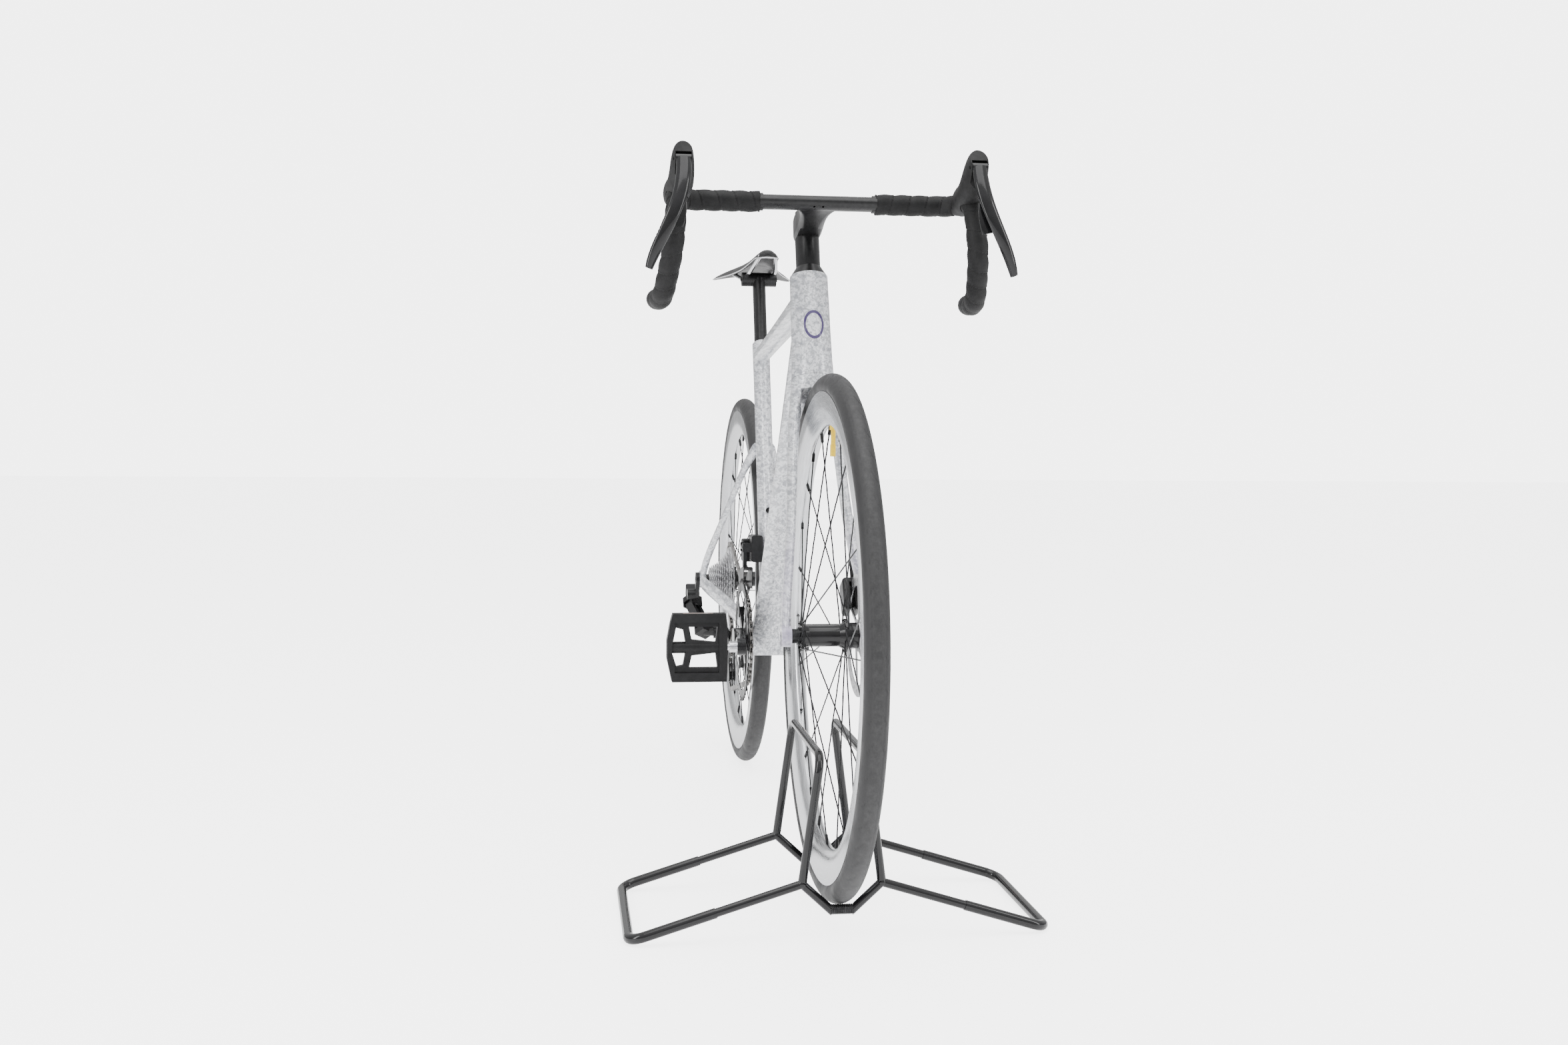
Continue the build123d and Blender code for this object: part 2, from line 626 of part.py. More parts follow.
def front_triangle():
    bracket = Vector(BRACKET[0], 0, BRACKET[1])
    head_low, head_high = 0.5, HEAD_LENGTH
    head = tube([
        (on_head(head_low), HEAD_RADIUS + 1.5, HEAD_RADIUS + 1.5),
        (on_head(HEAD_LENGTH * 0.25), HEAD_RADIUS, HEAD_RADIUS + 3),
        (on_head(HEAD_LENGTH * 0.75), HEAD_RADIUS - 1, HEAD_RADIUS + 1),
        (on_head(head_high), HEAD_RADIUS - 1.5, HEAD_RADIUS - 1.5),
    ])
    down_end = on_head(DOWN_TUBE_JOIN, -4)
    down = tube([
        (bracket + (down_end - bracket) * 0.02, 33, 29),
        (bracket + (down_end - bracket) * 0.45, 29, 28),
        (down_end, 27, 31),
    ])
    top = tube([
        (on_seat(TOP_TUBE_SEAT), 13.5, 15),
        (on_seat(TOP_TUBE_SEAT) + (on_head(TOP_TUBE_JOIN) - on_seat(TOP_TUBE_SEAT)) * 0.5, 16, 16),
        (on_head(TOP_TUBE_JOIN), 20, 21),
    ])
    seat = tube([
        (on_seat(4), 17, 23),
        (on_seat(SEAT_TUBE_TOP * 0.5), 14.5, 23),
        (on_seat(SEAT_TUBE_TOP), 14.5, 24),
    ])
    envelope = head + down + top + seat + cross_rod(BRACKET, -SHELL_HALF, SHELL_HALF, SHELL_RADIUS)
    shape = envelope - tyre_gap(REAR_AXLE)
    shape -= cross_rod(BRACKET, -SHELL_HALF - 1, SHELL_HALF + 1, CUP_RADIUS)
    shape -= post_prism(SEAT_TUBE_TOP - POST_INSERT - POST_DROP - 5, SEAT_TUBE_TOP + 40, RUNNING)
    shape -= rod(on_head(-10), on_head(HEAD_LENGTH + 10), CROWN_SEAT_RADIUS + 1.5)
    for low in (-10, HEAD_LENGTH - HEAD_BEARING_HEIGHT):
        shape -= rod(on_head(low), on_head(low + 10 + HEAD_BEARING_HEIGHT + 0.5), HEAD_BEARING_RADIUS)
    for point, direction, depth in bolt_places():
        shape -= rod(point - direction * depth, point + direction * 8, BOSS_BOLT_RADIUS)
        shape -= rod(point + direction * 1.2, point + direction * 8, BOSS_BOLT_HEAD)
    return shape, envelope


def bolt_places():
    """Where bolts go into the front triangle: (seat of the head, outward direction, depth)."""
    bracket = Vector(BRACKET[0], 0, BRACKET[1])
    down_end = on_head(DOWN_TUBE_JOIN, -4)
    along = (down_end - bracket).normalized()
    up = Vector(-along.Z, 0, along.X)
    forward = Vector(SEAT_DIR[1], 0, -SEAT_DIR[0])
    places = [(bracket + along * distance + up * 29.5, up, 12.0) for distance in (250, 314)]
    places += [(on_seat(distance, 23.4), forward, 5.5) for distance in (150, 214)]
    places.append((on_seat(SEAT_TUBE_TOP - 28, 24.2), forward, 6.0))
    return places


def frame_bolts():
    """Bottle bolts on the down and seat tubes, and the wedge bolt that holds the seatpost."""
    bolts = []
    for point, direction, depth in bolt_places():
        bolt = rod(point - direction * depth, point + direction * 1.2, BOSS_BOLT_RADIUS)
        head = rod(point + direction * 1.2, point + direction * 4.2, BOSS_BOLT_HEAD)
        bolts.append(bolt + head - rod(point + direction * 2.4, point + direction * 5, 1.8))
    return bolts


def rear_triangle(envelope):
    """Chain stays, dropped seat stays and dropouts, bonded to the outside of the front triangle."""
    axle = Vector(REAR_AXLE[0], 0, REAR_AXLE[1])
    bracket = Vector(BRACKET[0], 0, BRACKET[1])
    along = bracket - axle
    y = Vector(0, 1, 0)
    chain_stay = tube([
        (axle + along * 0.955 + y * 22, 11, 18),
        (axle + along * 0.83 + y * 29, 8, 17),
        (axle + along * 0.60 + y * 39, 7, 15),
        (axle + along * 0.30 + y * 60, 6, 13.5),
        (axle + along * 0.075 + y * DROPOUT_MID, 6, 13),
    ])
    top = on_seat(STAY_TOP)
    rise = top - axle
    seat_stay = tube([
        (axle + rise * 0.03 + y * DROPOUT_MID, 6, 12),
        (axle + rise * 0.16 + y * (DROPOUT_MID - 4), 6, 9.5),
        (axle + rise * 0.50 + y * 50, 5, 9),
        (axle + rise * 0.84 + y * 26.5, 5.5, 9.5),
        (axle + rise * 0.97 + y * 12, 8, 11),
    ])
    inner, outer = REAR_WIDTH / 2, REAR_WIDTH / 2 + DROPOUT_THICKNESS
    side = chain_stay + seat_stay + cross_rod(REAR_AXLE, inner, outer, 16)
    side -= cross_rod(REAR_AXLE, inner - 8, inner, 26)
    side -= cross_rod(REAR_AXLE, outer, outer + 8, 26)
    bridge = cross_rod((on_seat(STAY_TOP, -22).X, on_seat(STAY_TOP, -22).Z), -14, 14, 8)
    shape = side + mirrored(side) + bridge
    shape -= tyre_gap(REAR_AXLE)
    shape -= cross_rod(REAR_AXLE, -outer - 5, outer + 5, AXLE_RADIUS)
    shape -= cross_rod(BRACKET, -60, 60, SHELL_RADIUS)
    return (shape - envelope).solids().sort_by(SortBy.VOLUME)[-2:]


def derailleur_hanger():
    outline = Pos(REAR_AXLE[0], REAR_AXLE[1]) * Circle(13) + Pos(*HANGER_BOLT) * Circle(9.5)
    outline = make_hull(outline.edges())
    plate = cross_plate(outline, HANGER_INNER_Y - HANGER_THICKNESS, HANGER_INNER_Y)
    plate -= cross_rod(REAR_AXLE, -120, 0, AXLE_RADIUS)
    return plate - cross_rod(HANGER_BOLT, -120, 0, 5.0)


def bracket_cups():
    cups = []
    for side in (-1, 1):
        ends = sorted((side * (SHELL_HALF - 22), side * SHELL_HALF))
        lip = sorted((side * SHELL_HALF, side * (SHELL_HALF + CUP_FLANGE)))
        cup = cross_rod(BRACKET, *ends, CUP_RADIUS) + cross_rod(BRACKET, *lip, CUP_RADIUS + 2.5)
        cups.append(cup - cross_rod(BRACKET, -80, 80, SPINDLE_RADIUS + RUNNING))
    return cups


def headset_bearings():
    lower = rod(on_head(1), on_head(HEAD_BEARING_HEIGHT + 0.5), HEAD_BEARING_RADIUS)
    lower -= rod(on_head(-5), on_head(30), CROWN_SEAT_RADIUS + RUNNING)
    upper = rod(on_head(HEAD_LENGTH - HEAD_BEARING_HEIGHT), on_head(HEAD_LENGTH), HEAD_BEARING_RADIUS)
    upper -= rod(on_head(100), on_head(200), STEERER_RADIUS + RUNNING)
    return [lower, upper]


# ---------------------------------------------------------------- brakes
CALIPER_LENGTH = 46.0
CALIPER_DEPTH = 32.0
PAD_THICKNESS = 2.2
FRONT_CALIPER = (FRONT_AXLE[0] - 54, FRONT_AXLE[1] + 46)
REAR_CALIPER = (REAR_AXLE[0] + 47, REAR_AXLE[1] + 38)
FRONT_CALIPER_LEAN = 62.0   # of the caliper's length, up from forward, leaning back
REAR_CALIPER_LEAN = -9.8


# the front hose leaves the caliper's top and runs up into the back of the left blade
HOSE_RADIUS = 2.5
HOSE_BEND = 120.0
HOSE_POINTS = [
    (FRONT_AXLE[0] - 61, 42, FRONT_AXLE[1] + 59),
    (FRONT_AXLE[0] - 80, 42.5, FRONT_AXLE[1] + 94),
    (FRONT_AXLE[0] - 92, 41, FRONT_AXLE[1] + 146),
]


def caliper(centre, lean, axle, rotor_radius, rotor_y, foot):
    """A two-piston caliper astride the rotor, with its two pads; foot is a box (drop, y span)."""
    half_inner, half_outer = 12.0, 10.5
    frame = Pos(centre[0], rotor_y, centre[1]) * Rot(0, -lean, 0)
    body = frame * Pos(0, (half_outer - half_inner) / 2, 0) * Box(
        CALIPER_LENGTH, half_inner + half_outer, CALIPER_DEPTH
    )
    body = fillet(body.edges().filter_by(lambda edge: edge.length > CALIPER_DEPTH - 14), 5)
    drop, y_from, y_to = foot
    base = frame * Pos(0, (y_from + y_to) / 2 - rotor_y, drop) * Box(CALIPER_LENGTH + 24, y_to - y_from, 12)
    slot_half = ROTOR_THICKNESS / 2 + PAD_THICKNESS + FREE
    slot = cross_rod(axle, rotor_y - slot_half, rotor_y + slot_half, rotor_radius + 2)
    pads = []
    for side in (-1, 1):
        near = rotor_y + side * (ROTOR_THICKNESS / 2 + FREE)
        far = near + side * PAD_THICKNESS
        low, high = min(near, far), max(near, far)
        pad = frame * Pos(0, (low + high) / 2 - rotor_y, 0) * Box(26, high - low, 20)
        ring = cross_rod(axle, low, high, rotor_radius - 0.5)
        ring -= cross_rod(axle, low, high, rotor_radius - ROTOR_TRACK)
        pads.append(pad & ring)
    return body + base - slot, pads


# ---------------------------------------------------------------- fork and cockpit
def blade(side):
    y = Vector(0, side, 0)
    points = [
        (Vector(CROWN[0] + 4, 0, CROWN[1] - 12) + y * 20, 10, 23),
        (Vector(CROWN[0] + 22, 0, CROWN[1] - 66) + y * 29, 7.5, 21),
        (Vector(CROWN[0] + 66, 0, CROWN[1] - 185) + y * 38, 6.5, 17),
        (Vector(FRONT_AXLE[0] - 32, 0, FRONT_AXLE[1] + 58) + y * 50, 6.5, 13.5),
        (Vector(FRONT_AXLE[0] - 3, 0, FRONT_AXLE[1] + 4) + y * 56, 6.5, 12),
    ]
    return tube(points)


def fork():
    crown = tube([
        (on_head(0), HEAD_RADIUS + 1.5, HEAD_RADIUS + 1.5),
        (on_head(-14), HEAD_RADIUS + 3, HEAD_RADIUS),
        (on_head(-30), HEAD_RADIUS + 5, HEAD_RADIUS - 4),
    ])
    dropout_inner = FRONT_WIDTH / 2
    dropout_outer = dropout_inner + 13
    shape = crown
    for side in (-1, 1):
        ends = sorted((side * dropout_inner, side * dropout_outer))
        shape += blade(side) + cross_rod(FRONT_AXLE, *ends, 14)
        inside = sorted((side * (dropout_inner - 12), side * dropout_inner))
        shape -= cross_rod(FRONT_AXLE, *inside, 24)
    shape -= tyre_gap(FRONT_AXLE)
    shape -= cross_rod(FRONT_AXLE, -90, 90, AXLE_RADIUS)
    shape += rod(on_head(-4), on_head(HEAD_BEARING_HEIGHT + 2), CROWN_SEAT_RADIUS)
    return shape + rod(on_head(0), on_head(STEM_BASE + STEM_HEIGHT - 4), STEERER_RADIUS)


def headset_stack():
    """The cone over the upper bearing, the spacers and the top cap, all on the steerer."""
    bore = rod(on_head(100), on_head(300), STEERER_RADIUS)
    low = HEAD_LENGTH + FREE
    pieces = [tube([(on_head(low), 26, 26), (on_head(HEAD_LENGTH + COVER_HEIGHT), 18.5, 22.5)]) - bore]
    height = SPACER_STACK / SPACER_COUNT
    for index in range(SPACER_COUNT):
        start = HEAD_LENGTH + COVER_HEIGHT + height * index
        spacer = tube([(on_head(start), 17, 21), (on_head(start + height), 17, 21)])
        pieces.append(spacer - bore)
    cap_base = STEM_BASE + STEM_HEIGHT
    pieces.append(rod(on_head(cap_base), on_head(cap_base + 3), 15.5))
    return pieces


STEM_CENTRE = on_head(STEM_BASE + STEM_HEIGHT / 2)
BAR_X = STEM_CENTRE.X + STEM_LENGTH * cos(radians(STEM_RISE))
BAR_Z = STEM_CENTRE.Z + STEM_LENGTH * sin(radians(STEM_RISE))
LEVER_PIVOT = (BAR_X + LEVER_FORWARD, BAR_Z + LEVER_RISE)
# the right half of the bar: top, ramp, hook and drop
BAR_POINTS = [
    (BAR_X, -HOOD_Y - 2, BAR_Z),
    (BAR_X + 83, -HOOD_Y - 4, BAR_Z - 3),
    (BAR_X + 89, -HOOD_Y - 10, BAR_Z - 77),
    (BAR_X + 36, -HOOD_Y - 20, BAR_Z - 137),
    (BAR_X - 19, -HOOD_Y - 24, BAR_Z - 132),
]
BAR_BENDS = [32, 34, 60, 60]


def bar_tube(start_y, radius):
    return swept([(BAR_X, -start_y, BAR_Z)] + BAR_POINTS, BAR_BENDS, radius)


def handlebar():
    stem = loft([
        Plane(origin=STEM_CENTRE - Vector(23, 0, 4), x_dir=(0, 1, 0), z_dir=(1, 0, 0.2)) * RectangleRounded(30, 34, 8),
        Plane(origin=STEM_CENTRE + Vector(4, 0, 0), x_dir=(0, 1, 0), z_dir=(1, 0, 0.2)) * RectangleRounded(38, 38, 9),
        Plane(origin=STEM_CENTRE + Vector(50, 0, 11), x_dir=(0, 1, 0), z_dir=(1, 0, 0.2)) * RectangleRounded(38, 31, 9),
        Plane(origin=(BAR_X, 0, BAR_Z), x_dir=(0, 1, 0), z_dir=(1, 0, 0)) * RectangleRounded(66, 18, 7),
    ])
    section = Plane(origin=(BAR_X, -BAR_TOP_HALF, BAR_Z), x_dir=(1, 0, 0), z_dir=(0, 1, 0))
    top = extrude(section * Ellipse(BAR_HALF_DEPTH, BAR_HALF_HEIGHT), amount=2 * BAR_TOP_HALF)
    side = bar_tube(BAR_TOP_HALF - 5, BAR_RADIUS)
    shape = stem + top + side + mirrored(side)
    shape -= rod(on_head(STEM_BASE - 40), on_head(STEM_BASE), 40)
    shape -= rod(on_head(STEM_BASE + STEM_HEIGHT), on_head(STEM_BASE + 90), 40)
    shape -= rod(on_head(STEM_BASE - 20), on_head(STEM_BASE + 80), STEERER_RADIUS)
    for y in (-MOUNT_HOLE_SPACING / 2, MOUNT_HOLE_SPACING / 2):
        mouth = MOUNT_HOLES + Vector(0, y, 0)
        shape -= rod(mouth + MOUNT_DIR * 20, mouth - MOUNT_DIR * MOUNT_HOLE_DEPTH, MOUNT_HOLE_RADIUS)
    return shape


# two threaded holes low on the front of the bar take a computer mount
MOUNT_HOLE_RADIUS = 1.5
MOUNT_HOLE_SPACING = 12.0
MOUNT_HOLE_DEPTH = 8.0
MOUNT_DROOP = 30.0         # of the holes' axes, down from forward
MOUNT_DIR = Vector(cos(radians(MOUNT_DROOP)), 0, -sin(radians(MOUNT_DROOP)))
MOUNT_REACH = 1 / ((MOUNT_DIR.X / BAR_HALF_DEPTH) ** 2 + (MOUNT_DIR.Z / BAR_HALF_HEIGHT) ** 2) ** 0.5
MOUNT_HOLES = Vector(BAR_X, 0, BAR_Z) + MOUNT_DIR * MOUNT_REACH


def hood(side, bar):
    nose_x = BAR_X + HOOD_REACH
    y = HOOD_Y
    body = tube([
        (Vector(BAR_X + 22, y + 3, BAR_Z - 1), 15.5, 16),
        (Vector(BAR_X + 55, y + 2, BAR_Z + 5), 17, 21),
        (Vector(BAR_X + 90, y, BAR_Z + 14), 16.5, 22),
        (Vector(nose_x - 16, y, BAR_Z + 31), 15, 25),
        (Vector(nose_x - 1, y, BAR_Z + 42), 12, 18),
    ])
    if side < 0:
        body = mirrored(body)
    side_y = side * y
    body -= bar
    body -= cross_rod(LEVER_PIVOT, side_y - 10.3, side_y + 10.3, 9.5)
    mouth = Pos(LEVER_PIVOT[0] + 7, side_y, LEVER_PIVOT[1] - 18) * Box(26, 20.6, 36)
    body -= mouth
    body -= cross_rod(LEVER_PIVOT, side_y - 30, side_y + 30, 2 + RUNNING)
    return body.solids().sort_by(SortBy.VOLUME)[-1]


def brake_lever(side):
    y = Vector(0, side, 0)
    x, z = LEVER_PIVOT
    blade_shape = tube([
        (Vector(x + 3, 0, z) + y * HOOD_Y, 9.5, 5.5),
        (Vector(x + 18, 0, z - 36) + y * (HOOD_Y + 3), 9.5, 5),
        (Vector(x + 26, 0, z - 78) + y * (HOOD_Y + 17), 8.5, 4.5),
        (Vector(x + 22, 0, z - 112) + y * (HOOD_Y + 33), 7.5, 4.5),
        (Vector(x + 14, 0, z - 140) + y * (HOOD_Y + 44), 5, 4),
    ])
    root = cross_rod(LEVER_PIVOT, side * HOOD_Y - 9.8, side * HOOD_Y + 9.8, 6.5)
    pin = cross_rod(LEVER_PIVOT, side * HOOD_Y - 11.5, side * HOOD_Y + 11.5, 2)
    top, down = paddle_axis(side)
    lug_end = top - down * 5
    lug = rod(lug_end + Vector(11, side * 2, 3), lug_end, 3.6) + rod(lug_end - down * 3, lug_end + down * 5, 3.0)
    paddle_pin = rod(lug_end, top + down * 10, 1.5)
    return blade_shape + root + pin + lug + paddle_pin


def paddle_axis(side):
    """The upper end of a shift paddle and the direction of its hinge pin, behind the lever."""
    top = Vector(LEVER_PIVOT[0] + 7.5, side * (HOOD_Y + 1), LEVER_PIVOT[1] - 46)
    low = Vector(LEVER_PIVOT[0] + 14.5, side * (HOOD_Y + 10), LEVER_PIVOT[1] - 86)
    return top, (low - top).normalized()


def shift_paddle(side):
    top, down = paddle_axis(side)
    wide = top + (down + Vector(0.12, 0, 0)) * 20
    shape = tube([(top + down * FREE, 4.5, 2), (wide, 9, 2), (top + down * 42, 9, 2)])
    shape += rod(top + down * FREE, top + down * 13, 3)
    return shape - rod(top - down * 5, top + down * 10.5, 1.5 + RUNNING)


# ---------------------------------------------------------------- saddle and post
def seatpost():
    clamp = on_seat(SEAT_CLAMP)
    shape = post_prism(SEAT_TUBE_TOP - POST_INSERT, SEAT_CLAMP - 2, 0)
    shape += cross_rod((clamp.X, clamp.Z), -HEAD_HALF_WIDTH, HEAD_HALF_WIDTH, CLAMP_RADIUS)
    return shape - cross_rod((clamp.X, clamp.Z), -40, 40, CLAMP_BOLT_RADIUS + RUNNING)


def saddle_rails():
    clamp = on_seat(SEAT_CLAMP)
    rail_z = clamp.Z + 7
    points = [
        (clamp.X + 122, -13, rail_z + 19),
        (clamp.X + 52, -RAIL_Y, rail_z),
        (clamp.X - 58, -RAIL_Y, rail_z),
        (clamp.X - 116, -36, rail_z + 16),
    ]
    rail = swept(points, [60, 60], RAIL_RADIUS)
    return [rail, mirrored(rail)]


def saddle_clamp(rails):
    clamp = on_seat(SEAT_CLAMP)
    centre = (clamp.X, clamp.Z)
    bolt = cross_rod(centre, -32, 32, CLAMP_BOLT_RADIUS)
    pieces = [bolt]
    for side in (-1, 1):
        start = side * (HEAD_HALF_WIDTH + FREE)
        end = side * (HEAD_HALF_WIDTH + CHEEK_WIDTH)
        cheek = cross_rod(centre, min(start, end), max(start, end), CLAMP_RADIUS)
        cheek -= bolt
        for rail in rails:
            cheek -= rail
        pieces.append(cheek)
    return pieces


def saddle(rails):
    clamp = on_seat(SEAT_CLAMP)
    mid = clamp.Z + 20
    stations = [(130, 13, 9, 7), (118, 19, 12, 6), (70, 22, 13, 5), (15, 27, 13, 4), (-35, 46, 13, 1)]
    stations += [(-85, 65, 13, -2), (-122, 69, 12, -2), (-142, 52, 9, 1)]
    faces = []
    for forward, half_width, half_height, rise in stations:
        plane = Plane(origin=(clamp.X + forward, 0, mid + rise), x_dir=(0, 1, 0), z_dir=(1, 0, 0))
        faces.append(plane * Ellipse(half_width, half_height))
    shell = loft(faces)
    under = Pos(clamp.X - 20, 0, clamp.Z - 12 + 8) * Box(150, 60, 34)
    shell -= under
    for rail in rails:
        shell -= rail
    return shell


# ---------------------------------------------------------------- crank and pedals
CRANK_DIR = Vector(cos(radians(CRANK_ANGLE)), 0, sin(radians(CRANK_ANGLE)))
RING_FACE_Y = abs(LARGE_RING_Y) + SPROCKET_THICKNESS / 2
PEDAL_RIGHT = (BRACKET[0] + CRANK_LENGTH * CRANK_DIR.X, BRACKET[1] + CRANK_LENGTH * CRANK_DIR.Z)
PEDAL_LEFT = (BRACKET[0] - CRANK_LENGTH * CRANK_DIR.X, BRACKET[1] - CRANK_LENGTH * CRANK_DIR.Z)
ARM_END_Y = 75.0
CUP_FACE = SHELL_HALF + CUP_FLANGE


def crank_arm(side):
    bracket = Vector(BRACKET[0], 0, BRACKET[1])
    reach = CRANK_DIR * CRANK_LENGTH * (1 if side < 0 else -1)
    y = Vector(0, side, 0)
    inner = RING_FACE_Y + FREE * 2
    middle = inner + CRANK_ARM_THICKNESS / 2
    end_middle = ARM_END_Y - CRANK_ARM_THICKNESS / 2
    stations = [(0.0, middle, 19), (0.45, middle + 1, 14), (0.8, end_middle - 2, 12.5), (1.0, end_middle, 12)]
    faces = []
    for share, offset, half_height in stations:
        plane = Plane(origin=bracket + reach * share + y * offset, x_dir=(0, 1, 0), z_dir=reach)
        faces.append(plane * RectangleRounded(CRANK_ARM_THICKNESS, 2 * half_height, 4))
    arm = loft(faces)
    pedal = PEDAL_RIGHT if side < 0 else PEDAL_LEFT
    arm += cross_rod(pedal, *sorted((side * (ARM_END_Y - CRANK_ARM_THICKNESS), side * ARM_END_Y)), 13)
    boss_start = CUP_FACE + FREE
    arm += cross_rod(BRACKET, *sorted((side * boss_start, side * (inner + CRANK_ARM_THICKNESS))), 20)
    return arm - cross_rod(pedal, -200 if side < 0 else 20, -20 if side < 0 else 200, 7.0)


def crank_arms():
    """The right arm with its spindle and spider, and the left arm clamped on the spindle."""
    right = crank_arm(-1)
    spider_in = abs(SMALL_RING_Y) + SPROCKET_THICKNESS / 2
    spider_out = abs(LARGE_RING_Y) - SPROCKET_THICKNESS / 2
    for index in range(SPIDER_ARMS):
        angle = 45 + 360 / SPIDER_ARMS * index
        middle = polar(BRACKET, (SPIDER_RADIUS + 5.5) / 2 + 8, angle)
        length = SPIDER_RADIUS + 5.5 - 16
        arm = Box(length, spider_out - spider_in, 15)
        right += Pos(middle[0], -(spider_in + spider_out) / 2, middle[1]) * Rot(0, -angle, 0) * arm
        right -= cross_rod(polar(BRACKET, SPIDER_RADIUS, angle), -60, -30, 4.0)
    right += cross_rod(BRACKET, -RING_FACE_Y, RING_FACE_Y + 8, SPINDLE_RADIUS)
    left = crank_arm(1) - cross_rod(BRACKET, 20, RING_FACE_Y + 8, SPINDLE_RADIUS)
    return [right, left]


def chainring_bolts():
    bolts = []
    low = -RING_FACE_Y
    high = SMALL_RING_Y + SPROCKET_THICKNESS / 2
    for index in range(SPIDER_ARMS):
        place_at = polar(BRACKET, SPIDER_RADIUS, 45 + 360 / SPIDER_ARMS * index)
        bolts.append(cross_rod(place_at, low, high, 4.0))
    return bolts


def pedal_axle(side):
    pedal = PEDAL_RIGHT if side < 0 else PEDAL_LEFT

    def span(start, end, radius):
        return cross_rod(pedal, *sorted((side * start, side * end)), radius)

    return span(ARM_END_Y - 12, ARM_END_Y, 7.0) + span(ARM_END_Y, PEDAL_INNER_Y - 5, 8.5) + span(
        PEDAL_INNER_Y - 5, PEDAL_INNER_Y + PEDAL_WIDTH - 14, PEDAL_AXLE_RADIUS
    )


def pedal(side):
    """A cage pedal lying flat: length along x, width across; its axle bore is at the origin."""
    half = PEDAL_LENGTH / 2
    inner, outer = PEDAL_INNER_Y, PEDAL_INNER_Y + PEDAL_WIDTH
    outline = Polygon(
        (half, inner + 2), (half, outer - 9), (half * 0.72, outer - 5), (half * 0.2, outer),
        (-half * 0.3, outer), (-half, outer - 8), (-half, inner), (-half * 0.6, inner - 1), (half * 0.6, inner - 1),
        align=None,
    )
    windows = Polygon((8, inner + 17), (12, inner + 54), (32, inner + 58), (32, inner + 14), align=None)
    windows += Polygon((-8, inner + 17), (-12, inner + 54), (-31, inner + 58), (-31, inner + 14), align=None)
    windows += Polygon((28, inner + 67), (31, inner + 78), (4, inner + 84), (-8, inner + 84), (-29, inner + 77),
                       (-27, inner + 67), (0, inner + 62), align=None)
    body = extrude(outline, amount=PEDAL_THICKNESS / 2, both=True)
    waist = Box(PEDAL_LENGTH - 28, PEDAL_WIDTH - 24, PEDAL_THICKNESS)
    waist = Pos(0, inner + PEDAL_WIDTH / 2, 0) * waist
    for level in (-1, 1):
        body -= Pos(0, 0, level * (PEDAL_THICKNESS - 4)) * waist
    body -= extrude(windows, amount=PEDAL_THICKNESS, both=True)
    body += rod((0, inner, 0), (0, outer - 8, 0), 9)
    body -= rod((0, inner - 10, 0), (0, outer - 12, 0), PEDAL_AXLE_RADIUS + RUNNING)
    recess_mid = inner + PEDAL_WIDTH / 2 - 2
    body -= Pos(half - 1.5, recess_mid, 0) * Box(3.01, REFLECTOR_WIDTH, REFLECTOR_HEIGHT)
    body -= Pos(-half + 1.5, recess_mid, 0) * Box(3.01, REFLECTOR_WIDTH, REFLECTOR_HEIGHT)
    return body if side > 0 else mirrored(body)


REFLECTOR_WIDTH = 46.0
REFLECTOR_HEIGHT = 9.0


def reflectors(side):
    half = PEDAL_LENGTH / 2
    middle = side * (PEDAL_INNER_Y + PEDAL_WIDTH / 2 - 2)
    lenses = []
    for end in (-1, 1):
        lenses.append(Pos(end * (half - 1.5), middle, 0) * Box(3, REFLECTOR_WIDTH, REFLECTOR_HEIGHT))
    return lenses


def pedal_place(side):
    """The right pedal hangs on edge, the left one lies flat."""
    if side < 0:
        return Pos(PEDAL_RIGHT[0], 0, PEDAL_RIGHT[1]) * Rot(0, -90, 0)
    return Pos(PEDAL_LEFT[0], 0, PEDAL_LEFT[1])


# ---------------------------------------------------------------- rear derailleur
LINK_REST = (MID_LINK_DIR * cos(radians(SHIFT_HALF_ANGLE)) - SHIFT_DIR * sin(radians(SHIFT_HALF_ANGLE))) * LINK_LENGTH
KNUCKLE_CENTRE = LINK_CENTRE + LINK_REST


def link_frame(origin, along):
    """A plane whose z is the link pins' direction and whose x points along a link."""
    return Plane(origin=origin, x_dir=along, z_dir=LINK_AXIS)


def derailleur_link(offset):
    """One bar of the parallelogram with its pins; offset picks the outer or inner one."""
    start = LINK_CENTRE + SHIFT_DIR * offset
    plane = link_frame(start, LINK_REST.normalized())
    bar = Pos(LINK_LENGTH / 2, 0) * SlotCenterToCenter(LINK_LENGTH, 2 * LINK_HALF_THICKNESS)
    shape = extrude(bar, amount=LINK_HALF_WIDTH, both=True)
    pin = Cylinder(LINK_PIN, 2 * (LINK_HALF_WIDTH + FREE + EAR_THICKNESS))
    return plane.location * (shape + pin + Pos(LINK_LENGTH, 0, 0) * pin)


def knuckle_block(origin, toward):
    """Two ears that hold the link pins, joined by a block on the side away from the links."""
    plane = Plane(origin=origin, x_dir=MID_LINK_DIR * toward, z_dir=LINK_AXIS)
    ear_start = LINK_HALF_WIDTH + FREE
    half_span = LINK_SPLIT / 2 + 5
    ears = None
    for side in (-1, 1):
        centre = side * (ear_start + EAR_THICKNESS / 2)
        ear = Pos(4.5, 0, centre) * Box(17, 2 * half_span, EAR_THICKNESS)
        ears = ear if ears is None else ears + ear
    block = Pos(12, 0, 0) * Box(12, 2 * half_span, 2 * (ear_start + EAR_THICKNESS))
    shape = ears + block
    for side in (-1, 1):
        shape -= Pos(0, side * LINK_SPLIT / 2, 0) * Cylinder(LINK_PIN + RUNNING, 60)
    return plane.location * shape


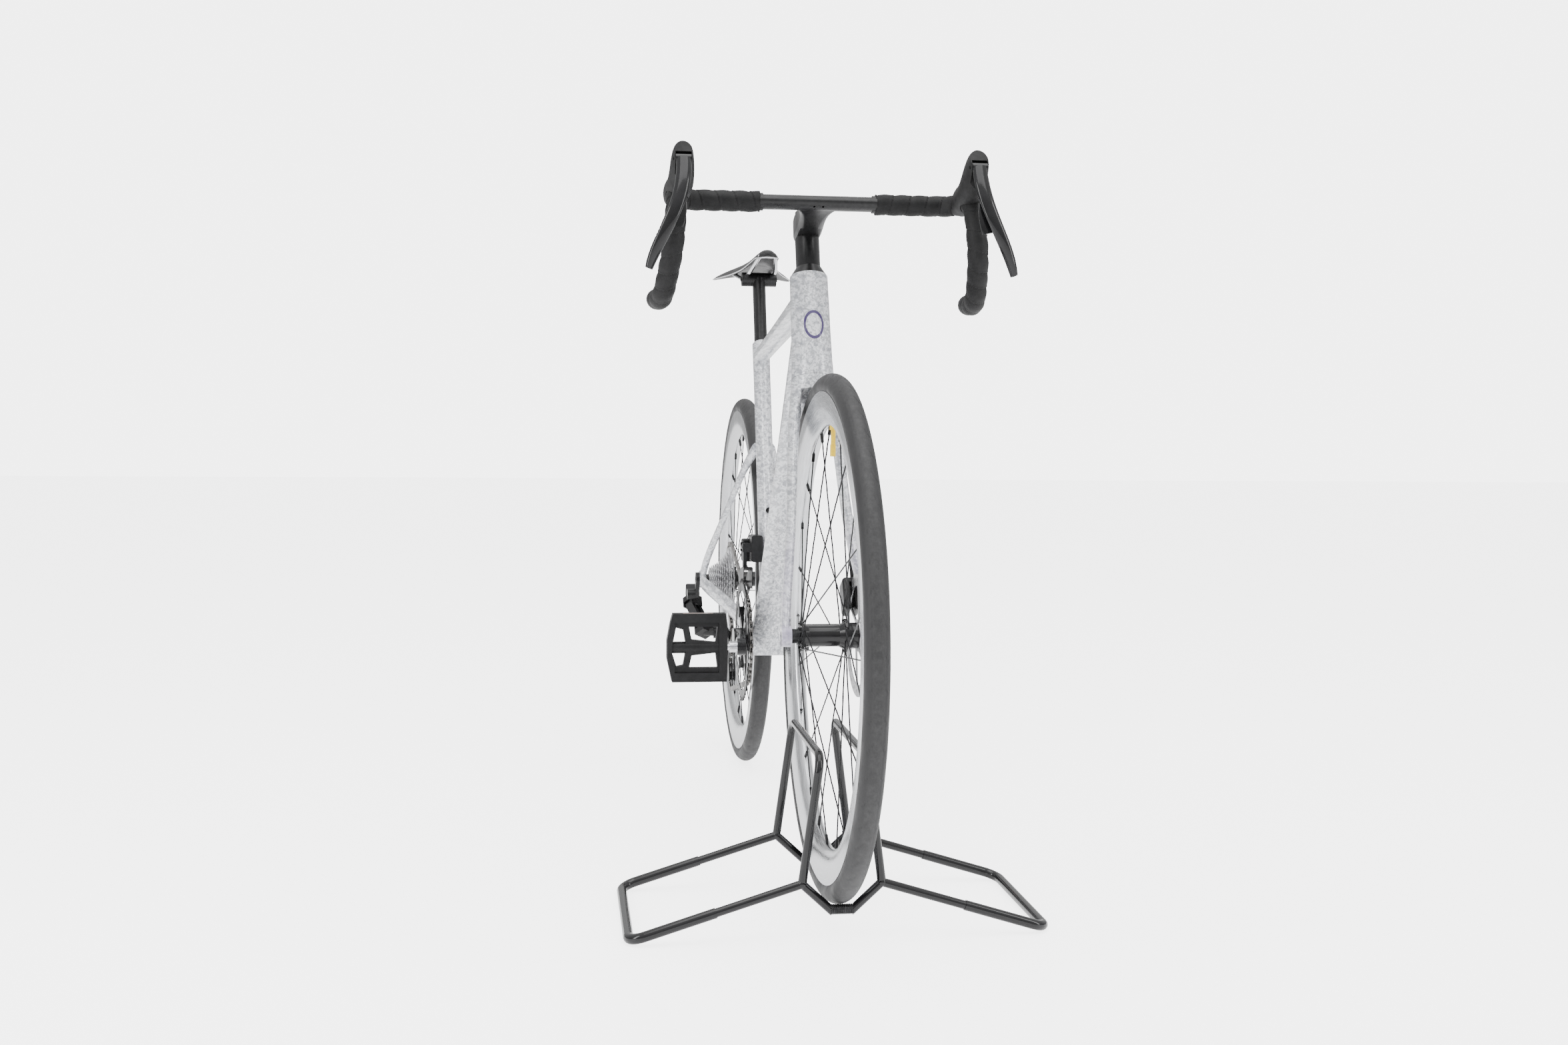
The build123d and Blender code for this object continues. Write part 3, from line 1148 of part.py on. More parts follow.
def derailleur_body():
    hanger_face = HANGER_INNER_Y - HANGER_THICKNESS
    shape = knuckle_block(LINK_CENTRE, -1)
    shape += cross_rod(HANGER_BOLT, hanger_face - 15, hanger_face, 10)
    shape += cross_rod(HANGER_BOLT, hanger_face, HANGER_INNER_Y + 1, 5.0)
    return shape


def derailleur_knuckle():
    """The moving knuckle: link ears, and a boss for the cage's pivot."""
    shape = knuckle_block(KNUCKLE_CENTRE, 1)
    cage_face = FIRST_COG_Y - CAGE_HALF_GAP - CAGE_PLATE - FREE
    shape += cross_rod(CAGE_PIVOT, cage_face - 26, cage_face, 11)
    block_middle = KNUCKLE_CENTRE + MID_LINK_DIR * 13
    shape += rod((CAGE_PIVOT[0], cage_face - 18, CAGE_PIVOT[1]), block_middle, 7)
    return shape - cross_rod(CAGE_PIVOT, cage_face - 14, cage_face + 5, 4 + RUNNING)


def derailleur_cage():
    """Two plates round the jockey wheels, their bolts, and the pivot stub."""
    outline = Pos(*GUIDE_PULLEY) * Circle(11) + Pos(*TENSION_PULLEY) * Circle(11) + Pos(*CAGE_PIVOT) * Circle(9)
    outline = make_hull(outline.edges())
    window = polar(GUIDE_PULLEY, PULLEY_DISTANCE / 2, CAGE_ANGLE - 90)
    slot = Pos(*window) * Rot(0, 0, CAGE_ANGLE - 90) * SlotCenterToCenter(24, 9)
    shape = None
    for side in (-1, 1):
        near = FIRST_COG_Y + side * CAGE_HALF_GAP
        far = near + side * CAGE_PLATE
        plate = cross_plate(outline - slot, min(near, far), max(near, far))
        shape = plate if shape is None else shape + plate
    reach = CAGE_HALF_GAP + CAGE_PLATE
    for pulley in (GUIDE_PULLEY, TENSION_PULLEY):
        shape += cross_rod(pulley, FIRST_COG_Y - reach, FIRST_COG_Y + reach + 1, 2.5)
    cage_face = FIRST_COG_Y - reach
    return shape + cross_rod(CAGE_PIVOT, cage_face - 12, cage_face + 0.5, 4)


def jockey_wheel(centre):
    wheel_shape = sprocket(JOCKEY_TEETH, 0, 0, 0, 2.0)
    wheel_shape += cross_rod((0, 0), -CAGE_HALF_GAP + FREE, CAGE_HALF_GAP - FREE, 8)
    wheel_shape -= cross_rod((0, 0), -10, 10, 2.5 + RUNNING)
    turn = phase_on(centre, JOCKEY_TEETH)
    return Pos(centre[0], FIRST_COG_Y, centre[1]) * Rot(0, -turn, 0) * wheel_shape


# ---------------------------------------------------------------- front derailleur
CHANGER_PIVOT = (-40.0, BRACKET[1] + 151)      # y and z of the swinging cage's axis
CHANGER_X = (BRACKET[0] - 53.98, BRACKET[0] - 17.98)
CHANGER_EAR = 4.0
CHANGER_PLATE = 1.2


def changer_body(front):
    """The motor housing on the seat tube, with two ears for the cage's pin."""
    x_from, x_to = CHANGER_X
    pivot_y, pivot_z = CHANGER_PIVOT
    body = Pos(366, -21, 419) * Box(42, 19, 44)
    body = fillet(body.edges().filter_by(Axis.X), 4)
    for x in (x_from, x_to - CHANGER_EAR):
        body += Pos(x + CHANGER_EAR / 2, -34, pivot_z) * Box(CHANGER_EAR, 22, 15)
    body -= rod((x_from - 5, pivot_y, pivot_z), (x_to + 5, pivot_y, pivot_z), 2.5 + RUNNING)
    return body - front


def changer_cage():
    x_from, x_to = CHANGER_X
    pivot_y, pivot_z = CHANGER_PIVOT
    ring_tip = pitch_radius(LARGE_RING_TEETH) + 3
    inner_y = SMALL_RING_Y + 7.6
    outer_y = SMALL_RING_Y - 5.4

    def sector(low, high, start, end, y_from, y_to):
        ring = Circle(high) - Circle(low)
        wedge = Polygon((0, 0), polar((0, 0), 2 * high, start), polar((0, 0), 2 * high, end), align=None)
        shape = cross_plate(ring & wedge, y_from, y_to)
        return Pos(BRACKET[0], 0, BRACKET[1]) * shape

    top = ring_tip + 20
    shape = sector(ring_tip + 2, top, 84, 122, outer_y - CHANGER_PLATE, outer_y)
    shape += sector(ring_tip - 15, top, 84, 128, inner_y, inner_y + CHANGER_PLATE)
    shape += sector(top - 1.5, top, 84, 110, outer_y - CHANGER_PLATE, inner_y + CHANGER_PLATE)
    shape += sector(top - 14, top - 12.5, 119, 122, outer_y - CHANGER_PLATE, inner_y + CHANGER_PLATE)
    arm_low = BRACKET[1] + top - 2
    middle_x = (x_from + x_to) / 2
    gap = CHANGER_EAR + FREE
    shape += rod((x_from + gap, pivot_y, pivot_z), (x_to - gap, pivot_y, pivot_z), 5.5)
    shape += rod((x_from, pivot_y, pivot_z), (x_to, pivot_y, pivot_z), 2.5)
    height = pivot_z - arm_low
    return shape + Pos(middle_x + 4, pivot_y, pivot_z - height / 2) * Box(14, 6, height)


def batteries(rear_body, front_body):
    """One clip-in battery behind each derailleur."""
    rear = Pos(LINK_CENTRE.X - 26, LINK_CENTRE.Y, LINK_CENTRE.Z + 22) * Rot(0, 20, 0) * Box(32, 22, 24)
    rear = fillet(rear.edges(), 3) - rear_body
    front = Pos(BRACKET[0] - 72.98, -29, BRACKET[1] + 144) * Box(30, 22, 38)
    front = fillet(front.edges(), 3) - front_body
    return [rear, front.solids().sort_by(SortBy.VOLUME)[-1]]


# ---------------------------------------------------------------- stand
def wing(side):
    """One welded wing: floor loop in its sleeve, upright loop and two short legs to the springs."""
    x = HALF_BASE
    joint_y, joint_z = STAND_JOINT
    top_y, top_z = STAND_TOP
    foot_z = STAND_SLEEVE
    apex = (SPRING_HALF + 0.3, SPRING_Z)

    def loop(y_near, z_near, y_far, z_far, radius):
        points = [
            (x + STAND_HALF, side * y_near, z_near), (x + STAND_HALF, side * y_far, z_far),
            (x - STAND_HALF, side * y_far, z_far), (x - STAND_HALF, side * y_near, z_near),
        ]
        return swept(points, [STAND_BEND, STAND_BEND], radius)

    shape = loop(joint_y, joint_z, top_y, top_z, STAND_TUBE)
    shape += loop(joint_y, joint_z, STAND_FOOT_Y, foot_z, STAND_TUBE)
    sleeve_y = joint_y + (STAND_FOOT_Y - joint_y) * SLEEVE_START
    sleeve_z = joint_z + (foot_z - joint_z) * SLEEVE_START
    shape += loop(sleeve_y, sleeve_z, STAND_FOOT_Y, foot_z, STAND_SLEEVE)
    for end in (-1, 1):
        joint = Vector(x + end * STAND_HALF, side * joint_y, joint_z)
        foot = Vector(x + end * STAND_HALF, side * (apex[0] - 4), apex[1] - 4)
        shape += rod(joint, foot, STAND_TUBE)
        shape += Pos(joint.X, joint.Y, joint.Z) * Sphere(STAND_TUBE + 0.8)
    keep_off = Pos(x, 0, SPRING_Z) * Box(4 * STAND_HALF, 2 * apex[0], 60)
    return shape - keep_off


def springs():
    """Close-wound coil springs that join the two wings, one in front of the axle and one behind."""
    result = []
    coil_pitch = 2 * (SPRING_HALF - SPRING_WIRE) / (SPRING_COILS - 1)
    for end in (-1, 1):
        sheath = Rot(90, 0, 0) * Cylinder(SPRING_RADIUS - SPRING_WIRE * 0.6, 2 * SPRING_HALF)
        for index in range(SPRING_COILS):
            y = -SPRING_HALF + SPRING_WIRE + coil_pitch * index
            sheath += Pos(0, y, 0) * Rot(90, 0, 0) * Torus(SPRING_RADIUS - SPRING_WIRE, SPRING_WIRE)
        sheath -= Rot(90, 0, 0) * Cylinder(SPRING_RADIUS - SPRING_WIRE * 1.4, 4 * SPRING_HALF)
        result.append(Pos(HALF_BASE + end * STAND_HALF, 0, SPRING_Z) * sheath)
    return result


AXLE_LIFTED = WHEEL_RADIUS + WHEEL_LIFT
TYRE_OVER_SPRING = AXLE_LIFTED - (WHEEL_RADIUS**2 - STAND_HALF**2) ** 0.5
SPRING_Z = TYRE_OVER_SPRING - FREE - SPRING_RADIUS - 0.2


# ---------------------------------------------------------------- build
wheel("front", FRONT_AXLE, FRONT_FLANGES, FRONT_WIDTH, FRONT_ROTOR_RADIUS, FRONT_ROTOR_Y, FRONT_VALVE_ANGLE, 6.0)
wheel("rear", REAR_AXLE, REAR_FLANGES, REAR_WIDTH, REAR_ROTOR_RADIUS, REAR_ROTOR_Y, REAR_VALVE_ANGLE, 0.0)

front_frame, front_envelope = front_triangle()
rear_frame = rear_triangle(front_envelope)
keep("front_triangle", front_frame)
keep("rear_triangle", *rear_frame)
keep("derailleur_hanger", derailleur_hanger())
keep("bottom_bracket_cups", *bracket_cups())
keep("headset_bearings", *headset_bearings())
keep("frame_bolts", *frame_bolts())
keep("chain", *chain())
keep("rear_thru_axle", cross_rod(REAR_AXLE, -(REAR_WIDTH / 2 + 18), REAR_WIDTH / 2 + 11.5, AXLE_RADIUS))

fork_shape = fork()
handlebar_shape = handlebar()
keep("fork", fork_shape)
keep("headset_cover_and_spacers", *headset_stack())
keep("handlebar", handlebar_shape)
tape_right = bar_tube(BAR_TOP_HALF, TAPE_RADIUS) - bar_tube(BAR_TOP_HALF - 5, BAR_RADIUS)
tape_left = mirrored(tape_right)
keep("bar_tape", tape_right, tape_left)
bar_end = Vector(*BAR_POINTS[-1])
bar_end_dir = (bar_end - Vector(*BAR_POINTS[-2])).normalized()
plug = rod(bar_end, bar_end + bar_end_dir * 4, TAPE_RADIUS - 0.5)
keep("bar_end_plugs", plug, mirrored(plug))
tape_solid = bar_tube(BAR_TOP_HALF - 5, TAPE_RADIUS)
keep("brake_hoods", hood(-1, tape_solid), hood(1, mirrored(tape_solid)))
keep("front_thru_axle", cross_rod(FRONT_AXLE, -(FRONT_WIDTH / 2 + 12), FRONT_WIDTH / 2 + 12.5, AXLE_RADIUS))
for side, side_name in ((-1, "right"), (1, "left")):
    keep("brake_lever_" + side_name, brake_lever(side))
    keep("shift_paddle_" + side_name, shift_paddle(side))
    keep("pedal_" + side_name, pedal_place(side) * pedal(side))
    keep("pedal_reflectors_" + side_name, *[pedal_place(side) * lens for lens in reflectors(side)])

front_caliper, front_pads = caliper(
    FRONT_CALIPER, 180 - FRONT_CALIPER_LEAN, FRONT_AXLE, FRONT_ROTOR_RADIUS, FRONT_ROTOR_Y, (-17, 44, 58)
)
keep("front_brake_caliper", front_caliper - fork_shape, *front_pads)
hose = swept(HOSE_POINTS, [HOSE_BEND], HOSE_RADIUS) - fork_shape - front_caliper
keep("front_brake_hose", hose.solids().sort_by(SortBy.VOLUME)[-1])
rear_caliper, rear_pads = caliper(
    REAR_CALIPER, REAR_CALIPER_LEAN, REAR_AXLE, REAR_ROTOR_RADIUS, REAR_ROTOR_Y, (-20, 60, 74)
)
for stay in rear_frame:
    rear_caliper -= stay
keep("rear_brake_caliper", rear_caliper, *rear_pads)

post_shape = seatpost()
rail_pair = saddle_rails()
keep("seatpost", post_shape)
keep("saddle_rails", *rail_pair)
keep("saddle_clamp", *saddle_clamp(rail_pair))
keep("saddle", saddle(rail_pair))

keep("crank_arms", *crank_arms())
keep("chainrings", *chainrings())
keep("chainring_bolts", *chainring_bolts())
keep("pedal_axles", pedal_axle(-1), pedal_axle(1))
keep("cassette", cassette())

rear_body = derailleur_body()
keep("rear_derailleur_body", rear_body)
keep("derailleur_outer_link", derailleur_link(LINK_SPLIT / 2))
keep("derailleur_inner_link", derailleur_link(-LINK_SPLIT / 2))
keep("derailleur_cage_knuckle", derailleur_knuckle())
keep("derailleur_cage", derailleur_cage())
keep("guide_pulley", jockey_wheel(GUIDE_PULLEY))
keep("tension_pulley", jockey_wheel(TENSION_PULLEY))
front_changer = changer_body(front_frame)
keep("front_derailleur_body", front_changer)
keep("front_derailleur_cage", changer_cage())
keep("derailleur_batteries", *batteries(rear_body, front_changer))

NODES["stand_wing_left"] = wing(1).solids()
NODES["stand_wing_right"] = wing(-1).solids()
NODES["stand_springs"] = [solid for one in springs() for solid in one.solids()]

os.makedirs("parts", exist_ok=True)
for node_name, solids in NODES.items():
    export_step(Compound(children=list(solids)), "parts/" + node_name + ".step")
print(len(NODES), "nodes,", LINK_COUNT, "chain links, cage at", round(CAGE_ANGLE, 2))
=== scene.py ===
import json
import math

import bpy
from mathutils import Matrix, Vector


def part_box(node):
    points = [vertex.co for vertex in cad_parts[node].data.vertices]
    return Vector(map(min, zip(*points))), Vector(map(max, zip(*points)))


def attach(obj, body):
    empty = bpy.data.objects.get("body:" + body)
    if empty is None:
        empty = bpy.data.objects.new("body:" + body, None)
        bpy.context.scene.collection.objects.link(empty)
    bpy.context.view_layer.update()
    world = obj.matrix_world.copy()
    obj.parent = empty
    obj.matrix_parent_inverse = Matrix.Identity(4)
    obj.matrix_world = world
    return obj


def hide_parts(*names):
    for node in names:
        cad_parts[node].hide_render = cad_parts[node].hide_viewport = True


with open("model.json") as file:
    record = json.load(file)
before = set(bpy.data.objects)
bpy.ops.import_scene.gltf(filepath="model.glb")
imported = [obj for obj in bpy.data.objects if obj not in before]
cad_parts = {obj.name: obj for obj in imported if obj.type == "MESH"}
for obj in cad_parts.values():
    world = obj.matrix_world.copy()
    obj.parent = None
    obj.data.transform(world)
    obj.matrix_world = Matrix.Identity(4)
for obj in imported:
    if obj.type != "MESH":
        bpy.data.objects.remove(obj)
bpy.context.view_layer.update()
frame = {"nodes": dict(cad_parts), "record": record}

# Blender model of a road bicycle whose front wheel stands in a folding floor stand.
# Metres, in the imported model's frame: X forward, Y to the rider's left, Z up from the floor.

NODES = frame["nodes"]
SLOT = {part["node"]: part["material_slot"] for part in frame["record"]["subparts"]}


def box_middle(node):
    low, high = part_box(node)
    return (Vector(low) + Vector(high)) / 2


FRONT_AXLE = box_middle("front_tyre")
REAR_AXLE = box_middle("rear_tyre")
NOSE_UP = math.atan2(FRONT_AXLE.z - REAR_AXLE.z, FRONT_AXLE.x - REAR_AXLE.x)


# ------------------------------------------------------------------ camera, floor and light
LENS, SENSOR_WIDTH = 37.95, 36      # millimetres
CAMERA_PLACE = (2.5974, -0.3538, 0.6505)
CAMERA_LOOK = Vector((-0.9883, 0.1378, -0.0651))
CAMERA_ROLL = 0.55                  # degrees
CAMERA_REACH = 60
SEEN_WHITE = 5.0
LIGHT_LOW, LIGHT_HIGH = 0.45, 1.5   # strength of the surround's light from below and from above
FLOOR_REACH = 14.0
FLOOR_BOUNCE, FLOOR_SEEN = 0.7, 3.4     # the floor's glow as light and as seen
# name, place, what it points at, width and length, watts
LIGHTS = (
    ("overhead", (0.9, 0.0, 3.2), (0.1, 0, 0.4), (2.6, 2.6), 60),
    ("left_strip", (1.7, -2.6, 1.5), (0.3, 0, 0.5), (0.7, 2.4), 44),
    ("right_strip", (1.9, 2.5, 1.6), (0.3, 0, 0.5), (0.6, 2.4), 34),
)


def camera():
    data = bpy.data.cameras.new("camera")
    data.lens = LENS
    data.sensor_width = SENSOR_WIDTH
    data.clip_end = CAMERA_REACH
    obj = bpy.data.objects.new("camera", data)
    bpy.context.collection.objects.link(obj)
    obj.location = CAMERA_PLACE
    base = CAMERA_LOOK.to_track_quat("-Z", "Y")
    roll = Matrix.Rotation(math.radians(CAMERA_ROLL), 4, "Z")
    obj.matrix_world = Matrix.Translation(obj.location) @ base.to_matrix().to_4x4() @ roll
    bpy.context.scene.camera = obj


def area_light(name, place, target, size, power):
    data = bpy.data.lights.new(name, "AREA")
    data.shape = "RECTANGLE"
    data.size, data.size_y = size
    data.energy = power
    obj = bpy.data.objects.new(name, data)
    bpy.context.collection.objects.link(obj)
    obj.location = place
    obj.rotation_euler = (Vector(target) - Vector(place)).to_track_quat("-Z", "Y").to_euler()


def surround():
    """A white surround for the eye, with softer light that falls mostly from above."""
    world = bpy.data.worlds.new("studio")
    bpy.context.scene.world = world
    world.use_nodes = True
    tree = world.node_tree
    seen = tree.nodes["Background"]
    seen.inputs[0].default_value = (1.0, 1.0, 1.0, 1)
    seen.inputs[1].default_value = SEEN_WHITE
    light = tree.nodes.new("ShaderNodeBackground")
    light.inputs[0].default_value = (1.0, 1.0, 1.0, 1)
    place = tree.nodes.new("ShaderNodeTexCoord")
    split = tree.nodes.new("ShaderNodeSeparateXYZ")
    tree.links.new(place.outputs["Generated"], split.inputs[0])
    tree.links.new(spread(tree, split.outputs[2], LIGHT_LOW, LIGHT_HIGH, -0.1, 0.9), light.inputs[1])
    path = tree.nodes.new("ShaderNodeLightPath")
    choose = tree.nodes.new("ShaderNodeMixShader")
    tree.links.new(path.outputs["Is Camera Ray"], choose.inputs[0])
    tree.links.new(light.outputs[0], choose.inputs[1])
    tree.links.new(seen.outputs[0], choose.inputs[2])
    tree.links.new(choose.outputs[0], tree.nodes["World Output"].inputs[0])


def pale_floor():
    mesh = bpy.data.meshes.new("floor")
    corners = [(x * FLOOR_REACH, y * FLOOR_REACH, 0) for x, y in ((-1, -1), (1, -1), (1, 1), (-1, 1))]
    mesh.from_pydata(corners, [], [(0, 1, 2, 3)])
    floor = bpy.data.objects.new("floor", mesh)
    bpy.context.collection.objects.link(floor)
    mat, tree, shader = new_material("floor_pale")
    colour = noise_colour(tree, 0.6, [(0.3, (0.95, 0.95, 0.955)), (0.7, (0.98, 0.98, 0.985))])
    tree.links.new(colour, shader.inputs["Base Color"])
    shader.inputs["Roughness"].default_value = 0.5
    shader.inputs["Emission Color"].default_value = (1, 1, 1, 1)
    path = tree.nodes.new("ShaderNodeLightPath")
    tree.links.new(spread(tree, path.outputs["Is Camera Ray"], FLOOR_BOUNCE, FLOOR_SEEN, 0, 1),
                   shader.inputs["Emission Strength"])
    mesh.materials.append(mat)


# ------------------------------------------------------------------ material pieces
EVEN = (1, 1, 1)            # a noise that isn't stretched
BLACK, WHITE = (0, 0, 0), (1, 1, 1)
# the brushed paint: a stroke's stretch, its fineness layer by layer, and how much it darkens
STROKE_STRETCH, STROKE_SCALE, STROKE_SCALE_STEP = (0.6, 10, 10), 16, 5
STROKE_SHADE = 0.6


def new_material(name):
    mat = bpy.data.materials.new(name)
    mat.use_nodes = True
    tree = mat.node_tree
    tree.nodes.clear()
    out = tree.nodes.new("ShaderNodeOutputMaterial")
    shader = tree.nodes.new("ShaderNodeBsdfPrincipled")
    tree.links.new(shader.outputs[0], out.inputs[0])
    return mat, tree, shader


def coords(tree, scale=(1, 1, 1), turn=(0, 0, 0)):
    place = tree.nodes.new("ShaderNodeTexCoord")
    mapping = tree.nodes.new("ShaderNodeMapping")
    mapping.inputs["Scale"].default_value = scale
    mapping.inputs["Rotation"].default_value = turn
    tree.links.new(place.outputs["Object"], mapping.inputs["Vector"])
    return mapping.outputs[0]


def noise(tree, stretch, scale, detail=4.0, rough=0.55, turn=(0, 0, 0), distortion=0.0):
    node = tree.nodes.new("ShaderNodeTexNoise")
    node.inputs["Scale"].default_value = scale
    node.inputs["Detail"].default_value = detail
    node.inputs["Roughness"].default_value = rough
    node.inputs["Distortion"].default_value = distortion
    tree.links.new(coords(tree, stretch, turn), node.inputs["Vector"])
    return node.outputs["Fac"]


def ramp(tree, value, stops):
    node = tree.nodes.new("ShaderNodeValToRGB")
    elements = node.color_ramp.elements
    while len(elements) < len(stops):
        elements.new(0.5)
    for element, (position, colour) in zip(elements, stops):
        element.position = position
        element.color = (*colour, 1)
    tree.links.new(value, node.inputs[0])
    return node.outputs[0]


def noise_colour(tree, scale, stops):
    return ramp(tree, noise(tree, EVEN, scale), stops)


def spread(tree, value, low, high, from_low=0.3, from_high=0.7):
    node = tree.nodes.new("ShaderNodeMapRange")
    node.inputs["From Min"].default_value = from_low
    node.inputs["From Max"].default_value = from_high
    node.inputs["To Min"].default_value = low
    node.inputs["To Max"].default_value = high
    tree.links.new(value, node.inputs["Value"])
    return node.outputs[0]


def bump(tree, shader, height, distance, strength=1.0):
    node = tree.nodes.new("ShaderNodeBump")
    node.inputs["Distance"].default_value = distance
    node.inputs["Strength"].default_value = strength
    tree.links.new(height, node.inputs["Height"])
    tree.links.new(node.outputs[0], shader.inputs["Normal"])


def mix(tree, fac, first, second):
    node = tree.nodes.new("ShaderNodeMix")
    node.data_type = "RGBA"
    for socket, value in ((node.inputs[0], fac), (node.inputs[6], first), (node.inputs[7], second)):
        if isinstance(value, bpy.types.NodeSocket):
            tree.links.new(value, socket)
        else:
            socket.default_value = value if isinstance(value, (int, float)) else (*value, 1)
    return node.outputs[2]


def math_node(tree, operation, *values):
    node = tree.nodes.new("ShaderNodeMath")
    node.operation = operation
    for index, value in enumerate(values):
        if isinstance(value, bpy.types.NodeSocket):
            tree.links.new(value, node.inputs[index])
        else:
            node.inputs[index].default_value = value
    return node.outputs[0]


def plain(name, dark, light, rough, metal=0.0, scale=180, depth=0.00004, coat=0.0, specular=0.5, fine=900):
    """A surface with mottled colour, uneven gloss and a fine grain."""
    mat, tree, shader = new_material(name)
    cloud = noise(tree, EVEN, scale, 6)
    tree.links.new(ramp(tree, cloud, [(0.3, dark), (0.72, light)]), shader.inputs["Base Color"])
    smear = noise(tree, EVEN, scale * 0.22, 3)
    tree.links.new(spread(tree, smear, rough[0], rough[1]), shader.inputs["Roughness"])
    shader.inputs["Metallic"].default_value = metal
    shader.inputs["Coat Weight"].default_value = coat
    shader.inputs["Coat Roughness"].default_value = 0.06
    shader.inputs["Specular IOR Level"].default_value = specular
    bump(tree, shader, noise(tree, EVEN, fine, 2), depth)
    return mat


def brushed_pearl(name, base, streak, shade, turns, decals):
    """White pearl lacquer over short crossing brush strokes."""
    mat, tree, shader = new_material(name)
    tone = mix(tree, noise_colour(tree, 9, [(0.3, BLACK), (0.7, WHITE)]), base, shade)
    height = None
    for index, turn in enumerate(turns):
        fineness = STROKE_SCALE + STROKE_SCALE_STEP * index
        strokes = noise(tree, STROKE_STRETCH, fineness, 3, 0.5, turn=turn, distortion=0.6)
        mask = ramp(tree, strokes, [(0.52, BLACK), (0.60, WHITE)])
        tone = mix(tree, math_node(tree, "MULTIPLY", mask, STROKE_SHADE), tone, streak)
        height = strokes if height is None else math_node(tree, "ADD", height, strokes)
    tone = decals(tree, tone)
    tree.links.new(tone, shader.inputs["Base Color"])
    tree.links.new(spread(tree, height, 0.22, 0.38, 0.7, 1.4), shader.inputs["Roughness"])
    shader.inputs["Metallic"].default_value = 0.25
    shader.inputs["Coat Weight"].default_value = 0.8
    shader.inputs["Coat Roughness"].default_value = 0.05
    bump(tree, shader, height, 0.00005, 0.5)
    return mat


def crossing_angles(*degrees_list):
    return [(math.radians(a), math.radians(b), math.radians(c)) for a, b, c in degrees_list]


def radial_metal(name, centre, dark, light, rough, scale):
    """Turned or ground metal: streaks run round a cross axis through centre."""
    mat, tree, shader = new_material(name)
    place = tree.nodes.new("ShaderNodeTexCoord")
    shift = tree.nodes.new("ShaderNodeVectorMath")
    shift.operation = "SUBTRACT"
    shift.inputs[1].default_value = centre
    tree.links.new(place.outputs["Object"], shift.inputs[0])
    split = tree.nodes.new("ShaderNodeSeparateXYZ")
    tree.links.new(shift.outputs[0], split.inputs[0])
    square_x = math_node(tree, "MULTIPLY", split.outputs[0], split.outputs[0])
    square_z = math_node(tree, "MULTIPLY", split.outputs[2], split.outputs[2])
    radius = math_node(tree, "SQRT", math_node(tree, "ADD", square_x, square_z))
    angle = math_node(tree, "ARCTAN2", split.outputs[2], split.outputs[0])
    join = tree.nodes.new("ShaderNodeCombineXYZ")
    tree.links.new(math_node(tree, "MULTIPLY", radius, 40.0), join.inputs[0])
    tree.links.new(math_node(tree, "MULTIPLY", angle, 0.5), join.inputs[1])
    tree.links.new(math_node(tree, "MULTIPLY", split.outputs[1], 40.0), join.inputs[2])
    streaks = tree.nodes.new("ShaderNodeTexNoise")
    streaks.inputs["Scale"].default_value = scale
    streaks.inputs["Detail"].default_value = 6
    tree.links.new(join.outputs[0], streaks.inputs["Vector"])
    grain = ramp(tree, streaks.outputs["Fac"], [(0.3, dark), (0.7, light)])
    tree.links.new(grain, shader.inputs["Base Color"])
    tree.links.new(spread(tree, streaks.outputs["Fac"], rough[0], rough[1]), shader.inputs["Roughness"])
    shader.inputs["Metallic"].default_value = 1.0
    bump(tree, shader, streaks.outputs["Fac"], 0.00003, 0.6)
    return mat


# ------------------------------------------------------------------ mesh helpers
def new_object(name, verts, faces, mat):
    mesh = bpy.data.meshes.new(name)
    mesh.from_pydata([tuple(v) for v in verts], [], faces)
    mesh.update()
    mesh.polygons.foreach_set("use_smooth", [True] * len(mesh.polygons))
    obj = bpy.data.objects.new(name, mesh)
    bpy.context.collection.objects.link(obj)
    mesh.materials.append(mat)
    return obj


def grid_faces(rings, around, closed_rings=False):
    faces = []
    for i in range(rings if closed_rings else rings - 1):
        for j in range(around):
            a = i * around + j
            b = i * around + (j + 1) % around
            c = ((i + 1) % rings) * around + (j + 1) % around
            d = ((i + 1) % rings) * around + j
            faces.append((a, b, c, d))
    return faces


def turned(name, axle, profile, segments, mat, displace):
    """A closed profile of (radius, y) turned about the cross axis through axle."""
    verts = []
    for i in range(segments):
        angle = 2 * math.pi * i / segments
        for j, (radius, y) in enumerate(profile):
            reach = radius + displace(angle, j)
            verts.append((axle.x + reach * math.cos(angle), y, axle.z + reach * math.sin(angle)))
    return new_object(name, verts, grid_faces(segments, len(profile), True), mat)


def rounded_path(points, radii, step):
    """Points every step along straight runs joined by arcs."""
    points = [Vector(p) for p in points]
    path = [points[0]]
    for before, corner, after, radius in zip(points, points[1:], points[2:], radii):
        first, second = (before - corner).normalized(), (after - corner).normalized()
        half = first.angle(second) / 2
        reach = radius / math.tan(half)
        start, end = corner + first * reach, corner + second * reach
        centre = corner + (first + second).normalized() * (radius / math.sin(half))
        arc = math.pi - 2 * half
        path.append(start)
        count = max(2, int(radius * arc / step))
        a, b = start - centre, end - centre
        for i in range(1, count + 1):
            path.append(centre + a.slerp(b, i / count).normalized() * radius)
    path.append(points[-1])
    result = [path[0]]
    for p, q in zip(path, path[1:]):
        pieces = max(1, round((q - p).length / step))
        result += [p.lerp(q, (i + 1) / pieces) for i in range(pieces)]
    return result


def frames_along(path):
    """Parallel-transported (tangent, side, up) at each point."""
    tangents = []
    for i in range(len(path)):
        tangents.append((path[min(i + 1, len(path) - 1)] - path[max(i - 1, 0)]).normalized())
    side = tangents[0].orthogonal().normalized()
    result = []
    for tangent in tangents:
        side = (side - tangent * side.dot(tangent)).normalized()
        result.append((tangent, side, tangent.cross(side)))
    return result


